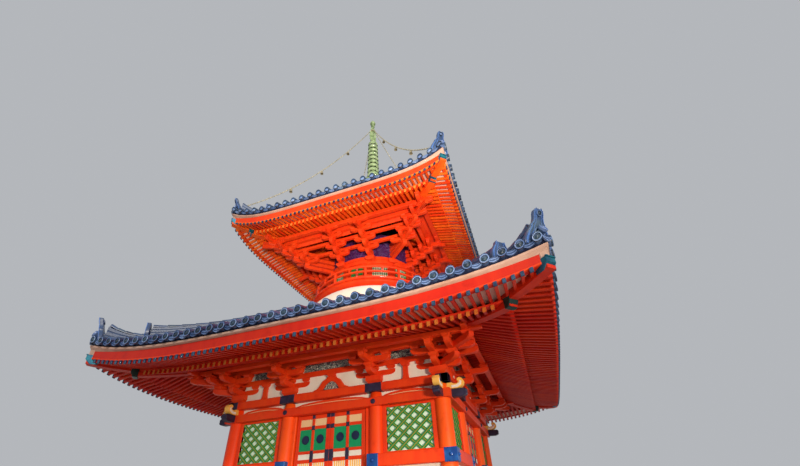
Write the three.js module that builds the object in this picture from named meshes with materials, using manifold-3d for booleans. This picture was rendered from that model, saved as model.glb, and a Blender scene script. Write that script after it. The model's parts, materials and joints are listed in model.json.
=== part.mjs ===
// A two-storey Buddhist treasure pagoda: a square three-bay lower storey, a white dome, a round drum,
// a square upper roof and a bronze finial. Millimetres, +Z up, origin at ground level on the centre line.
// The front faces -Y. Every side repeats the front by a quarter turn.
import * as THREE from 'three';
import { mergeVertices } from 'three/addons/utils/BufferGeometryUtils.js';
import Module from 'manifold-3d';

const wasm = await Module();
wasm.setup();

// Driving dimensions
const GAP = 0.3;
const MITRE_GAP = 0.3;
const HALF = 2250;
const BAY = 960;
const COLUMN_R = 145;
const COLUMN_SIDES = 16;

const PODIUM = { half: 4250, height: 450, cap: 130, lip: 50 };
const STONE_STEPS = { tread: 300, halfWidth: 1150 };
const MOUND = { foot: 2950, top: 2720, height: 200 };
const VERANDA = { half: 3300, inner: 2300, top: 1130, board: 50, beam: 130, postHalf: 3130, post: 130 };
const FLOOR = { top: 1250, thick: 60 };
const FLOOR_RAIL = { z: 1130, height: 170, proud: 45 };
const WAIST_RAIL = { z: 2340, height: 200, proud: 40 };
const HEAD_RAIL = { z: 3335, height: 150, proud: 45 };
const WALL_THICK = 90;
const WINDOW = { stile: 70, rail: 32, board: 25, setBack: 20 };
const JAMB = { width: 60, depth: 120 };
const LEAF = { thick: 60, gap: 6, pinR: 12 };
const HEAD_PLATE = { z: 3600, height: 150, half: 2430 };
const TIE_BEAM = { z: 3487, thick: 110 };

const LOWER = {
  edge: 4430, lift: 334, liftPower: 3.6, liftFrom: 2300,
  tipBottom: 4060, tipTop: 4140, boardTop: 4290, baseTip: 3810, tipDrop: 90, wall: 2310, slope: 0.353,
  tileEdge: 4560, tileBottom: 4330, roofTop: 6190, roofHead: 1500, curve: 1.22, shell: 190, tileStep: 512,
};
const UPPER = {
  edge: 3109, lift: 387, liftPower: 5, liftFrom: 1500,
  tipBottom: 8195, tipTop: 8287, boardTop: 8490, baseTip: 2720, tipDrop: 90, wall: 1330, slope: 0.31,
  tileEdge: 3230, tileBottom: 8530, roofTop: 11200, roofHead: 330, curve: 1.3, shell: 190, tileStep: 512,
};
const TILE_EDGE = 150;
const ROOF_SHELL = 170;
// Every second row of round tiles stands as a rib on the plain roof
const TILE_ROW = { half: 65, rise: 45 };
// Where a roof side is cut across, as shares of the way from its edge to its head
const ROOF_ROWS = [0, 0.3, 0.65, 1];
const UNDER_ROWS = [0.5, 1];
// Hip ridges: the tall one stops short of the corner, and a low one carries on to it
const MAIN_RIDGE = { end: 780, width: 230, height: 270, rise: 120 };
const TAIL_RIDGE = { start: 900, end: 60, width: 170, height: 130, rise: 110 };
const RAFTER_TIP_PROUD = 30;

const FRIEZE = { outer: 2300, inner: 2200, top: 4535 };
const STEP_L = { out: 350, block: 330, blockTop: 3905, arm: 120, pad: 80, width: 120, reach: 430 };
const PURLIN_L = { half: 2950, width: 110, z: 4225 };

const DOME = { foot: 1980, top: 1420, z: 5560, springZ: 5960, topZ: 6560 };
const BALCONY = { r: 1800, inner: 1255, z: 6620, board: 70, under: 90 };
const RAILING = { r: 1720, top: 7080, bar: 60, segments: 20 };
const DRUM = { r: 1250, wall: 90, top: 7560, segments: 28 };
const UPPER_SETS = { z: 7560, steps: 4, out: 245, rise: 190, arm: 110, width: 120, core: 1310, coreIn: 1200 };
const PURLIN_U = { half: 2240, width: 110, z: 8200 };

const FINIAL = {
  base: 420, baseZ: 11200, baseTop: 11620, bowlTop: 11960, lotusTop: 12200, poleR: 55,
  rings: 9, ringZ: 12310, ringStep: 235, ringR: 232, ringThick: 110, chainZ: 15200, top: 16000,
};
const CHAIN = { r: 14, start: 95, endOut: 2950, sag: 620, steps: 12 };

// Finishes
const finish = (color, roughness, metalness = 0) => (
  new THREE.MeshStandardMaterial({ color, roughness, metalness })
);
const VERMILION = finish(0xd8340f, 0.55);
const VERMILION_DARK = finish(0xb3240e, 0.6);
const PLASTER = finish(0xf1ece0, 0.85);
const STONE = finish(0x9c9890, 0.9);
const TIMBER = finish(0x8a6a4a, 0.75);
const TILE = finish(0x43536b, 0.5);
const BRONZE = finish(0x86a08c, 0.5, 0.6);

const pagoda = new THREE.Group();
const SIDES = ['front', 'right', 'back', 'left'];

/** Adds one named sub-part. */
function add(name, shape, material) {
  const mesh = new THREE.Mesh(shape.isBufferGeometry ? shape : geometryOf(shape), material);
  mesh.name = name;
  pagoda.add(mesh);
}

/** Turns a closed geometry into a solid that can be joined and cut. */
function solidOf(geometry) {
  const bare = geometry.clone();
  bare.deleteAttribute('normal');
  bare.deleteAttribute('uv');
  const merged = mergeVertices(bare, 1e-3);
  return new wasm.Manifold(new wasm.Mesh({
    numProp: 3,
    vertProperties: new Float32Array(merged.attributes.position.array),
    triVerts: new Uint32Array(merged.index.array),
  }));
}

/** Gives a solid back as a geometry. */
function geometryOf(solid) {
  const mesh = solid.getMesh();
  const geometry = new THREE.BufferGeometry();
  geometry.setAttribute('position', new THREE.BufferAttribute(mesh.vertProperties, 3));
  geometry.setIndex(new THREE.BufferAttribute(mesh.triVerts, 1));
  return geometry;
}

/** Joins a list of geometries or solids into one solid. */
function join(parts) {
  const solids = parts.map((part) => (part.isBufferGeometry ? solidOf(part) : part));
  return solids.slice(1).reduce((whole, part) => whole.add(part), solids[0]);
}

/** A box between two corners. */
function box(x0, x1, y0, y1, z0, z1) {
  const geometry = new THREE.BoxGeometry(x1 - x0, y1 - y0, z1 - z0);
  geometry.translate((x0 + x1) / 2, (y0 + y1) / 2, (z0 + z1) / 2);
  return geometry;
}

/** An upright cylinder. */
function post(x, y, radius, z0, z1, sides) {
  const geometry = new THREE.CylinderGeometry(radius, radius, z1 - z0, sides);
  geometry.rotateX(Math.PI / 2);
  geometry.translate(x, y, (z0 + z1) / 2);
  return geometry;
}

/** A geometry turned about the centre line by a number of quarter turns. */
function turned(geometry, quarters) {
  return geometry.clone().rotateZ((quarters * Math.PI) / 2);
}

/** The same geometry on all four sides. */
function onFourSides(geometry) {
  return SIDES.map((_, quarters) => turned(geometry, quarters));
}

/** A square ring of plain section. */
function squareRing(outer, inner, z0, z1) {
  const shape = new THREE.Shape();
  shape.moveTo(-outer, -outer);
  shape.lineTo(outer, -outer);
  shape.lineTo(outer, outer);
  shape.lineTo(-outer, outer);
  shape.closePath();
  const hole = new THREE.Path();
  hole.moveTo(-inner, -inner);
  hole.lineTo(-inner, inner);
  hole.lineTo(inner, inner);
  hole.lineTo(inner, -inner);
  hole.closePath();
  shape.holes.push(hole);
  const geometry = new THREE.ExtrudeGeometry(shape, { depth: z1 - z0, bevelEnabled: false });
  geometry.translate(0, 0, z0);
  return geometry;
}

/** A turned solid from an outline of [radius, height] points that starts and ends on the axis. */
function turnedSolid(outline, segments) {
  const points = outline.map(([radius, z]) => new THREE.Vector2(radius, z));
  const geometry = new THREE.LatheGeometry(points, segments);
  geometry.rotateX(Math.PI / 2);
  return geometry;
}

/** A round ring with a closed outline of [radius, height] points. */
function roundRing(outline, segments) {
  return turnedSolid([...outline, outline[0]], segments);
}

/** A closed body lofted through rings of equal point counts, with flat ends. */
function loft(rings) {
  const count = rings[0].length;
  const positions = rings.flat().flat();
  const index = [];
  for (let i = 0; i + 1 < rings.length; i += 1) {
    for (let j = 0; j < count; j += 1) {
      const a = i * count + j;
      const b = i * count + ((j + 1) % count);
      index.push(a, b, b + count, a, b + count, a + count);
    }
  }
  const last = (rings.length - 1) * count;
  for (let j = 1; j + 1 < count; j += 1) {
    index.push(0, j + 1, j, last, last + j, last + j + 1);
  }
  return outward(positions, index);
}

/** A geometry from positions and faces, turned so that its faces point out. */
function outward(positions, index) {
  let volume = 0;
  const corner = (i) => new THREE.Vector3(...positions.slice(3 * i, 3 * i + 3));
  for (let i = 0; i < index.length; i += 3) {
    volume += corner(index[i]).dot(corner(index[i + 1]).cross(corner(index[i + 2])));
  }
  const faces = volume > 0 ? index : [...index].reverse();
  const geometry = new THREE.BufferGeometry();
  geometry.setAttribute('position', new THREE.Float32BufferAttribute(positions, 3));
  geometry.setIndex(faces);
  return geometry;
}

// Where each run of the eave is cut across, from corner to corner
const ALONG = [-1, -0.9, -0.74, -0.5, 0, 0.5, 0.74, 0.9];

/** How far the eave rises at a point `along` and `out` from the centre line. */
function liftAt(eave, along, out) {
  const reach = Math.max(0, (out - eave.liftFrom) / (eave.edge - eave.liftFrom));
  return eave.lift * (Math.abs(along) / eave.edge) ** eave.liftPower * reach;
}

/** The eave's rise where its boards run straight from one cut to the next. */
function boardLift(eave, along, out) {
  const share = Math.min(1, Math.abs(along) / out);
  const cuts = [...ALONG.filter((cut) => cut >= 0), 1];
  const next = Math.max(1, cuts.findIndex((cut) => cut >= share));
  const [low, high] = [cuts[next - 1], cuts[next]];
  const [lowLift, highLift] = [low, high].map((cut) => liftAt(eave, cut * out, out));
  return lowLift + ((highLift - lowLift) * (share - low)) / (high - low);
}

/** A square ring of any section whose corners sweep up, mitred at the hips. */
function sweptEave(section, eave) {
  const positions = [];
  for (let quarter = 0; quarter < 4; quarter += 1) {
    for (const t of ALONG) {
      for (const [out, z] of section) {
        const point = new THREE.Vector3(t * out, -out, z + liftAt(eave, t * out, out));
        point.applyAxisAngle(new THREE.Vector3(0, 0, 1), (quarter * Math.PI) / 2);
        positions.push(point.x, point.y, point.z);
      }
    }
  }
  const rings = 4 * ALONG.length;
  const count = section.length;
  const index = [];
  for (let i = 0; i < rings; i += 1) {
    for (let j = 0; j < count; j += 1) {
      const a = i * count + j;
      const b = i * count + ((j + 1) % count);
      const c = ((i + 1) % rings) * count + j;
      const d = ((i + 1) % rings) * count + ((j + 1) % count);
      if (section[j][0] >= section[(j + 1) % count][0]) {
        index.push(a, b, d, a, d, c);
      } else {
        index.push(a, b, c, b, d, c);
      }
    }
  }
  return outward(positions, index);
}

/** Height of the tiled surface at a distance out from the centre line. */
function roofHeight(eave, out) {
  const t = (eave.tileEdge - out) / (eave.tileEdge - eave.roofHead);
  return eave.tileBottom + TILE_EDGE + (eave.roofTop - eave.tileBottom - TILE_EDGE) * t ** eave.curve;
}

/** Underside of the base rafters at a distance out from the centre line. */
function rafterUnderside(eave, out) {
  return eave.tipBottom - 15 + eave.slope * (eave.baseTip - out);
}

/** The two tiers of rafters with the boards and fascia above them. */
function eaveBody(eave) {
  const tipOut = eave.edge + RAFTER_TIP_PROUD;
  const flyingIn = eave.baseTip + 10;
  return sweptEave([
    [tipOut, eave.tipBottom],
    [tipOut, eave.tipTop],
    [eave.edge, eave.tipTop],
    [eave.edge, eave.boardTop],
    [eave.edge - 120, eave.boardTop],
    [eave.wall, rafterUnderside(eave, eave.wall) + eave.shell],
    [eave.wall, rafterUnderside(eave, eave.wall)],
    [eave.baseTip, rafterUnderside(eave, eave.baseTip)],
    [eave.baseTip, eave.tipBottom + eave.tipDrop],
    [flyingIn, eave.tipBottom + eave.tipDrop + 70],
  ], eave);
}

/** Height of a hip ridge's top at a distance out; its end sweeps up by the ridge's rise. */
function ridgeTop(eave, ridge, out, from, to) {
  const share = (out - from) / (to - from);
  return roofHeight(eave, out) + liftAt(eave, out, out) + ridge.height + ridge.rise * share ** 4;
}

/** One hip ridge on the front right hip, between two distances out. */
function hipRidge(eave, ridge, from, to) {
  const stations = [];
  const count = 5;
  for (let i = 0; i <= count; i += 1) {
    const out = from + ((to - from) * i) / count;
    const foot = roofHeight(eave, out) + liftAt(eave, out, out) - 70;
    const top = ridgeTop(eave, ridge, out, from, to);
    const side = ridge.width / 2 / Math.SQRT2;
    stations.push([
      [out - side, -out - side, foot], [out + side, -out + side, foot],
      [out + side, -out + side, top], [out - side, -out - side, top],
    ]);
  }
  return loft(stations);
}

/** Where a roof side is cut lengthwise: its ends, its head, and the edges and crest of each tile row. */
function roofColumns(eave) {
  const columns = [-eave.tileEdge, -eave.roofHead, eave.roofHead, eave.tileEdge].map((x) => ({ x, rise: 0 }));
  const count = Math.floor((eave.tileEdge - TILE_ROW.half) / eave.tileStep);
  for (let i = -count; i <= count; i += 1) {
    const x = i * eave.tileStep;
    columns.push({ x: x - TILE_ROW.half, rise: 0 });
    columns.push({ x, rise: TILE_ROW.rise });
    columns.push({ x: x + TILE_ROW.half, rise: 0 });
  }
  return columns.sort((a, b) => a.x - b.x);
}

/** Height on a line through [out, height] points that run inwards. */
function heightOn(line, out) {
  const next = Math.max(1, line.findIndex((point) => point[0] <= out));
  const [[outA, heightA], [outB, heightB]] = [line[next - 1], line[next]];
  return heightA + ((heightB - heightA) * (outA - out)) / (outA - outB);
}

/** The outline of a roof side at one column: inwards along the top, then outwards along the underside. */
function roofOutline(eave, column) {
  const outAt = (share) => eave.tileEdge + (eave.roofHead - eave.tileEdge) * share;
  const under = [
    [eave.tileEdge, eave.tileBottom],
    [eave.edge, eave.boardTop + GAP],
    ...UNDER_ROWS.map(outAt).map((out) => [out, roofHeight(eave, out) - ROOF_SHELL]),
  ];
  // Past the hip line a column has ended, so its points stay on that line
  const held = (out) => Math.max(out, Math.abs(column.x));
  const topHeight = (out) => roofHeight(eave, out) + (out > eave.roofHead ? column.rise : 0);
  const top = ROOF_ROWS.map(outAt).map(held).map((out) => (
    [column.x, -out, topHeight(out) + liftAt(eave, column.x, out)]
  ));
  const bottom = under.map(([out]) => held(out)).map((out) => (
    [column.x, -out, heightOn(under, out) + boardLift(eave, column.x, out)]
  ));
  return [...top, ...bottom.reverse()];
}

/** A point turned about the centre line by a number of quarter turns. */
function pointTurned([x, y, z], quarters) {
  return quarters === 0 ? [x, y, z] : pointTurned([-y, x, z], quarters - 1);
}

/** The shell of four tiled faces that meet at the hips. */
function roofShell(eave) {
  const positions = [];
  const index = [];
  const places = new Map();
  const placed = (x, y, z) => {
    const key = [x, y, z].map((value) => Math.round(value * 100)).join();
    if (!places.has(key)) {
      places.set(key, places.size);
      positions.push(x, y, z);
    }
    return places.get(key);
  };
  const face = (...corners) => {
    if (new Set(corners).size === 3) {
      index.push(...corners);
    }
  };
  const columns = roofColumns(eave);
  for (let quarter = 0; quarter < 4; quarter += 1) {
    const outlines = columns.map((column) => (
      roofOutline(eave, column).map((point) => placed(...pointTurned(point, quarter)))
    ));
    for (let i = 0; i + 1 < columns.length; i += 1) {
      const atHead = Math.abs(columns[i].x + columns[i + 1].x) / 2 < eave.roofHead;
      const count = outlines[i].length;
      for (let j = 0; j < count; j += 1) {
        const next = (j + 1) % count;
        const isHeadWall = j === ROOF_ROWS.length - 1;
        if (!isHeadWall || atHead) {
          face(outlines[i][j], outlines[i][next], outlines[i + 1][next]);
          face(outlines[i][j], outlines[i + 1][next], outlines[i + 1][j]);
        }
      }
    }
  }
  return outward(positions, index);
}

/** A tiled roof of four faces with its hip ridges. */
function tiledRoof(eave, ridgeHead) {
  const parts = [roofShell(eave)];
  for (let quarter = 0; quarter < 4; quarter += 1) {
    const tail = [eave.tileEdge - TAIL_RIDGE.start, eave.tileEdge - TAIL_RIDGE.end];
    parts.push(turned(hipRidge(eave, MAIN_RIDGE, ridgeHead, eave.tileEdge - MAIN_RIDGE.end), quarter));
    parts.push(turned(hipRidge(eave, TAIL_RIDGE, ...tail), quarter));
  }
  return join(parts);
}

// Column places along one side, corner to corner
const COLUMN_X = [-HALF, -BAY, BAY, HALF];

/** All twelve columns as solids, a little thicker than the real ones, to cut what fits round them. */
function columnCutters(z0, z1) {
  const cutters = [];
  for (let quarter = 0; quarter < 4; quarter += 1) {
    for (const x of COLUMN_X.slice(0, 3)) {
      cutters.push(turned(post(x, -HALF, COLUMN_R + GAP, z0, z1, COLUMN_SIDES), quarter));
    }
  }
  return join(cutters);
}

/** Cuts the column places out of a piece. */
function fitColumns(parts) {
  return join(parts).subtract(columnCutters(MOUND_TOP - 10, HEAD_PLATE.z + 10));
}

const MOUND_TOP = PODIUM.height + MOUND.height;

/** The masonry podium with its steps, and its plastered mound. */
function buildBase() {
  const body = box(-PODIUM.half + PODIUM.lip, PODIUM.half - PODIUM.lip, -PODIUM.half + PODIUM.lip,
    PODIUM.half - PODIUM.lip, 0, PODIUM.height - PODIUM.cap);
  const cap = box(-PODIUM.half, PODIUM.half, -PODIUM.half, PODIUM.half,
    PODIUM.height - PODIUM.cap, PODIUM.height);
  const square = (half, z) => [[-half, -half, z], [half, -half, z], [half, half, z], [-half, half, z]];
  const z = PODIUM.height + GAP;
  add('plaster_mound', loft([
    square(MOUND.foot, z),
    square(MOUND.foot - 20, z + 90),
    square(MOUND.top + 90, MOUND_TOP - 35),
    square(MOUND.top, MOUND_TOP),
  ]), PLASTER);

  const rise = PODIUM.height / 3;
  const { tread, halfWidth } = STONE_STEPS;
  const foot = -PODIUM.half + PODIUM.lip;
  add('podium', join([
    body, cap,
    box(-halfWidth, halfWidth, foot - 2 * tread, foot + 5, 0, rise),
    box(-halfWidth, halfWidth, foot - tread, foot + 5, 0, 2 * rise),
  ]), STONE);
}

/** The veranda round the lower storey, on its own posts, with wooden steps up from the podium. */
function buildVeranda() {
  const { half, inner, top, board, beam, postHalf, post: size } = VERANDA;
  const beamTop = top - board;
  const parts = [
    squareRing(half, inner, beamTop, top),
    squareRing(postHalf + beam / 2, postHalf - beam / 2, beamTop - beam, beamTop),
  ];
  for (const x of [-postHalf, -postHalf / 2, 0, postHalf / 2]) {
    const leg = box(x - size / 2, x + size / 2, -postHalf - size / 2, -postHalf + size / 2,
      PODIUM.height + GAP, beamTop);
    parts.push(...onFourSides(leg));
  }
  add('veranda', fitColumns(parts), TIMBER);

  const risers = 4;
  const rise = (top - PODIUM.height) / risers;
  const tread = 230;
  const halfWidth = 900;
  const stringer = 60;
  const foot = PODIUM.height + GAP;
  const start = -half - GAP;
  const flight = [];
  for (let i = 0; i < risers - 1; i += 1) {
    const z = top - rise * (i + 1);
    flight.push(box(-halfWidth, halfWidth, start - tread * (i + 1), start - tread * i, z - 45, z));
  }
  for (const side of [-1, 1]) {
    const outline = new THREE.Shape();
    outline.moveTo(start, foot);
    outline.lineTo(start - tread * (risers - 1) - 30, foot);
    outline.lineTo(start - tread * (risers - 1) - 30, foot + 110);
    outline.lineTo(start, top - 20);
    outline.closePath();
    const cheek = new THREE.ExtrudeGeometry(outline, { depth: stringer, bevelEnabled: false });
    cheek.applyMatrix4(new THREE.Matrix4().makeBasis(
      new THREE.Vector3(0, 1, 0), new THREE.Vector3(0, 0, 1), new THREE.Vector3(1, 0, 0)));
    cheek.translate(side * halfWidth - stringer / 2, 0, 0);
    flight.push(cheek);
  }
  add('wooden_steps', join(flight), TIMBER);
}

/** The inner floor. */
function buildFloor() {
  const half = HALF - 50 - GAP;
  add('floor', fitColumns([box(-half, half, -half, half, FLOOR.top - FLOOR.thick, FLOOR.top)]), TIMBER);
}

/** Twelve round columns, the inner ones with the door jamb on their inner side. */
function buildColumns() {
  const { z: headZ } = HEAD_RAIL;
  const jambZ = FLOOR_RAIL.z + FLOOR_RAIL.height + GAP;
  SIDES.forEach((side, quarter) => {
    const corner = post(HALF, -HALF, COLUMN_R, MOUND_TOP + GAP, HEAD_PLATE.z - GAP, COLUMN_SIDES);
    add(`column_${side}_corner`, turned(corner, quarter), VERMILION);
    for (const [hand, x, sign] of [['left', -BAY, 1], ['right', BAY, -1]]) {
      const shaft = post(x, -HALF, COLUMN_R, MOUND_TOP + GAP, HEAD_PLATE.z - GAP, COLUMN_SIDES);
      const inside = x + sign * (COLUMN_R + JAMB.width);
      const jamb = box(Math.min(x + sign * 60, inside), Math.max(x + sign * 60, inside),
        -HALF - JAMB.depth / 2, -HALF + JAMB.depth / 2, jambZ, headZ - GAP);
      const piece = join([shaft, jamb]);
      add(`column_${side}_${hand}`, turned(geometryOf(piece), quarter), VERMILION);
    }
  });
}

/** The rails that clasp the columns, and the plate with its tie beams that caps them. */
function buildRails() {
  const face = HALF + COLUMN_R;
  const inner = HALF - 50;
  const footTop = FLOOR_RAIL.z + FLOOR_RAIL.height;
  const foot = squareRing(face + FLOOR_RAIL.proud, inner, FLOOR_RAIL.z + GAP, footTop);
  add('floor_rail', fitColumns([foot]), VERMILION);
  const head = squareRing(face + HEAD_RAIL.proud, inner, HEAD_RAIL.z, HEAD_RAIL.z + HEAD_RAIL.height);
  add('head_rail', fitColumns([head]), VERMILION);

  const outer = face + WAIST_RAIL.proud;
  const z0 = WAIST_RAIL.z;
  const z1 = z0 + WAIST_RAIL.height;
  const wallFace = HALF + WALL_THICK / 2 + GAP;
  const end = BAY - COLUMN_R + 20;
  const along = box(end, outer, -outer, -wallFace, z0, z1);
  const across = box(wallFace, outer, -outer, -end, z0, z1);
  const rail = fitColumns([along, across]);
  SIDES.forEach((side, quarter) => {
    add(`waist_rail_${side}_corner`, turned(geometryOf(rail), quarter), VERMILION);
  });

  const plate = squareRing(HEAD_PLATE.half, HALF - 190, HEAD_PLATE.z, HEAD_PLATE.z + HEAD_PLATE.height);
  const tie = squareRing(HALF + TIE_BEAM.thick / 2, HALF - TIE_BEAM.thick / 2, TIE_BEAM.z, HEAD_PLATE.z + 5);
  const cut = columnCutters(MOUND_TOP, HEAD_PLATE.z);
  addSides('head_plate', join([plate, tie]).subtract(cut), VERMILION);
}

/** The side bays: plaster walls, each with its window opening and the board that closes it. */
function buildWallBays() {
  const half = WALL_THICK / 2;
  const z0 = FLOOR_RAIL.z + FLOOR_RAIL.height + GAP;
  const z1 = HEAD_RAIL.z - GAP;
  const windowZ = WAIST_RAIL.z + WAIST_RAIL.height + WINDOW.rail;
  const windowTop = z1 - WINDOW.rail;
  SIDES.forEach((side, quarter) => {
    for (const [hand, sign] of [['left', -1], ['right', 1]]) {
      const inside = Math.min(sign * (BAY + 40), sign * (HALF - 40));
      const outside = Math.max(sign * (BAY + 40), sign * (HALF - 40));
      const clear = COLUMN_R - 40 + WINDOW.stile;
      const [left, right] = [inside + clear, outside - clear];
      const hole = box(left, right, -HALF - 200, -HALF + 200, windowZ, windowTop);
      const panel = solidOf(box(inside, outside, -HALF - half, -HALF + half, z0, z1)).subtract(solidOf(hole));
      const back = -HALF + half - WINDOW.setBack;
      const board = solidOf(box(left - 5, right + 5, back - WINDOW.board, back, windowZ - 5, windowTop + 5));
      const wall = panel.add(board).subtract(columnCutters(z0 - 10, z1 + 10));
      add(`wall_${side}_${hand}`, turned(geometryOf(wall), quarter), PLASTER);
    }
  });
}

/** The doors: pairs of hinged leaves at the front and right, and closed pairs on the other two sides. */
function buildDoors() {
  const z0 = FLOOR_RAIL.z + FLOOR_RAIL.height;
  const z1 = HEAD_RAIL.z;
  const edge = BAY - COLUMN_R - JAMB.width - LEAF.gap;
  const half = LEAF.thick / 2;
  const leaf = join([
    post(-edge + half, -HALF, half, z0 + LEAF.gap, z1 - LEAF.gap, 16),
    box(-edge + half, -LEAF.gap / 2, -HALF - half, -HALF + half, z0 + LEAF.gap, z1 - LEAF.gap),
    post(-edge + half, -HALF, LEAF.pinR, z0 + GAP, z1 - GAP, 12),
  ]);
  const left = geometryOf(leaf);
  const right = geometryOf(leaf.mirror([1, 0, 0]));
  for (const quarter of [0, 1]) {
    add(`door_${SIDES[quarter]}_left`, turned(left, quarter), VERMILION_DARK);
    add(`door_${SIDES[quarter]}_right`, turned(right, quarter), VERMILION_DARK);
  }
  const pair = box(-edge, edge, -HALF - half, -HALF + half, z0 + GAP, z1 - GAP);
  for (const quarter of [2, 3]) {
    add(`doors_${SIDES[quarter]}`, turned(pair, quarter), VERMILION_DARK);
  }
}

/** Splits a ring-like body at the diagonals into its four sides, and adds each as its own sub-part. */
function addSides(name, whole, material) {
  const reach = 2 * LOWER.edge;
  const wedge = new THREE.Shape([
    new THREE.Vector2(0, -MITRE_GAP),
    new THREE.Vector2(-reach, -reach - MITRE_GAP),
    new THREE.Vector2(reach, -reach - MITRE_GAP),
  ]);
  const cutter = new THREE.ExtrudeGeometry(wedge, { depth: FINIAL.top, bevelEnabled: false });
  SIDES.forEach((side, quarter) => {
    add(`${name}_${side}`, whole.intersect(solidOf(turned(cutter, quarter))), material);
  });
}

/** The square purlin that the base rafters rest on. */
function purlinRing(eave, purlin) {
  const outer = purlin.half + purlin.width / 2;
  return squareRing(outer, outer - purlin.width, purlin.z, rafterUnderside(eave, outer) - GAP);
}

/** A stepped bracket arm towards -Y: an outline of [distance out, height] points, as thick as `width`. */
function steppedArm(outline, width) {
  const shape = new THREE.Shape(outline.map(([out, z]) => new THREE.Vector2(out, z)));
  const geometry = new THREE.ExtrudeGeometry(shape, { depth: width, bevelEnabled: false });
  geometry.applyMatrix4(new THREE.Matrix4().makeBasis(
    new THREE.Vector3(0, -1, 0), new THREE.Vector3(0, 0, 1), new THREE.Vector3(-1, 0, 0)));
  geometry.translate(width / 2, 0, 0);
  return geometry;
}

/** The frieze wall over the columns with its two-step bracket sets and the eave purlin. */
function buildLowerSets() {
  const { out, block, blockTop, arm, pad, width, reach } = STEP_L;
  const z = HEAD_PLATE.z + HEAD_PLATE.height + GAP;
  const armTop = blockTop + arm;
  const secondZ = armTop + pad;
  const secondTop = secondZ + arm;
  const parts = [squareRing(FRIEZE.outer, FRIEZE.inner, z, FRIEZE.top)];
  const half = width / 2;
  const blockHalf = block / 2;
  parts.push(purlinRing(LOWER, PURLIN_L));
  const outline = (scale) => [
    [0, blockTop - 40], [(out + half) * scale, blockTop - 40], [(out + half) * scale, secondZ],
    [(2 * out + half) * scale, secondZ], [(2 * out + half) * scale, PURLIN_L.z + 5], [0, PURLIN_L.z + 5],
  ];
  for (const x of COLUMN_X.slice(1)) {
    const arms = steppedArm(outline(1), width);
    arms.translate(x, -HALF, 0);
    const set = [
      arms,
      box(x - blockHalf, x + blockHalf, -HALF - blockHalf, -HALF + blockHalf, z, blockTop),
      box(x - reach, x + reach, -HALF - half, -HALF + half, blockTop, armTop),
      box(x - reach, x + reach, -HALF - out - half + 10, -HALF - out + half - 10, secondZ + 10, secondTop),
    ];
    set.forEach((piece) => parts.push(...onFourSides(piece)));
  }
  const across = steppedArm(outline(1), width);
  across.rotateZ(-Math.PI / 2);
  across.translate(-HALF, -HALF, 0);
  parts.push(...onFourSides(across));
  const hip = steppedArm(outline(Math.SQRT2), width);
  hip.rotateZ(Math.PI / 4);
  hip.translate(HALF, -HALF, 0);
  parts.push(...onFourSides(hip));
  addSides('lower_brackets', join(parts), VERMILION);
}

/** The white dome, the drum, the round balcony and its railing. */
function buildUpperStorey() {
  const dome = [];
  const steps = 5;
  for (let i = 0; i <= steps; i += 1) {
    const turn = (Math.PI / 2) * (i / steps);
    const radius = DOME.top + (DOME.foot - DOME.top) * Math.cos(turn);
    dome.push([radius, DOME.springZ + (DOME.topZ - DOME.springZ) * Math.sin(turn)]);
  }
  const inner = DRUM.r - DRUM.wall;
  const domeOutline = [[inner, DOME.z], [DOME.foot, DOME.z], ...dome, [inner, DOME.topZ]];
  add('dome', roundRing(domeOutline, DRUM.segments), PLASTER);
  const under = BALCONY.z - BALCONY.under;
  add('balcony', roundRing([
    [BALCONY.inner, DOME.topZ + GAP], [BALCONY.r - 180, DOME.topZ + GAP], [BALCONY.r - 60, under + 60],
    [BALCONY.r - 60, BALCONY.z], [BALCONY.r, BALCONY.z], [BALCONY.r, BALCONY.z + BALCONY.board],
    [BALCONY.inner, BALCONY.z + BALCONY.board],
  ], DRUM.segments), VERMILION);

  const floor = BALCONY.z + BALCONY.board + GAP;
  const { r, top, bar } = RAILING;
  const hoop = (z0, z1, w) => (
    roundRing([[r - w, z0], [r + w, z0], [r + w, z1], [r - w, z1]], RAILING.segments)
  );
  const rails = [
    hoop(floor, floor + bar, bar / 2), hoop(floor + 190, floor + 235, 22), hoop(top - bar, top, bar / 2),
  ];
  for (let i = 0; i < 12; i += 1) {
    const turn = (i + 0.5) * (Math.PI / 6);
    rails.push(post(r * Math.cos(turn), r * Math.sin(turn), bar / 2 - 4, floor + 5, top - 5, 4));
  }
  add('balcony_railing', join(rails), VERMILION);

  add('drum', roundRing([
    [inner, DOME.topZ + GAP], [DRUM.r, DOME.topZ + GAP], [DRUM.r, DRUM.top], [inner, DRUM.top],
  ], DRUM.segments), PLASTER);
}

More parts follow.
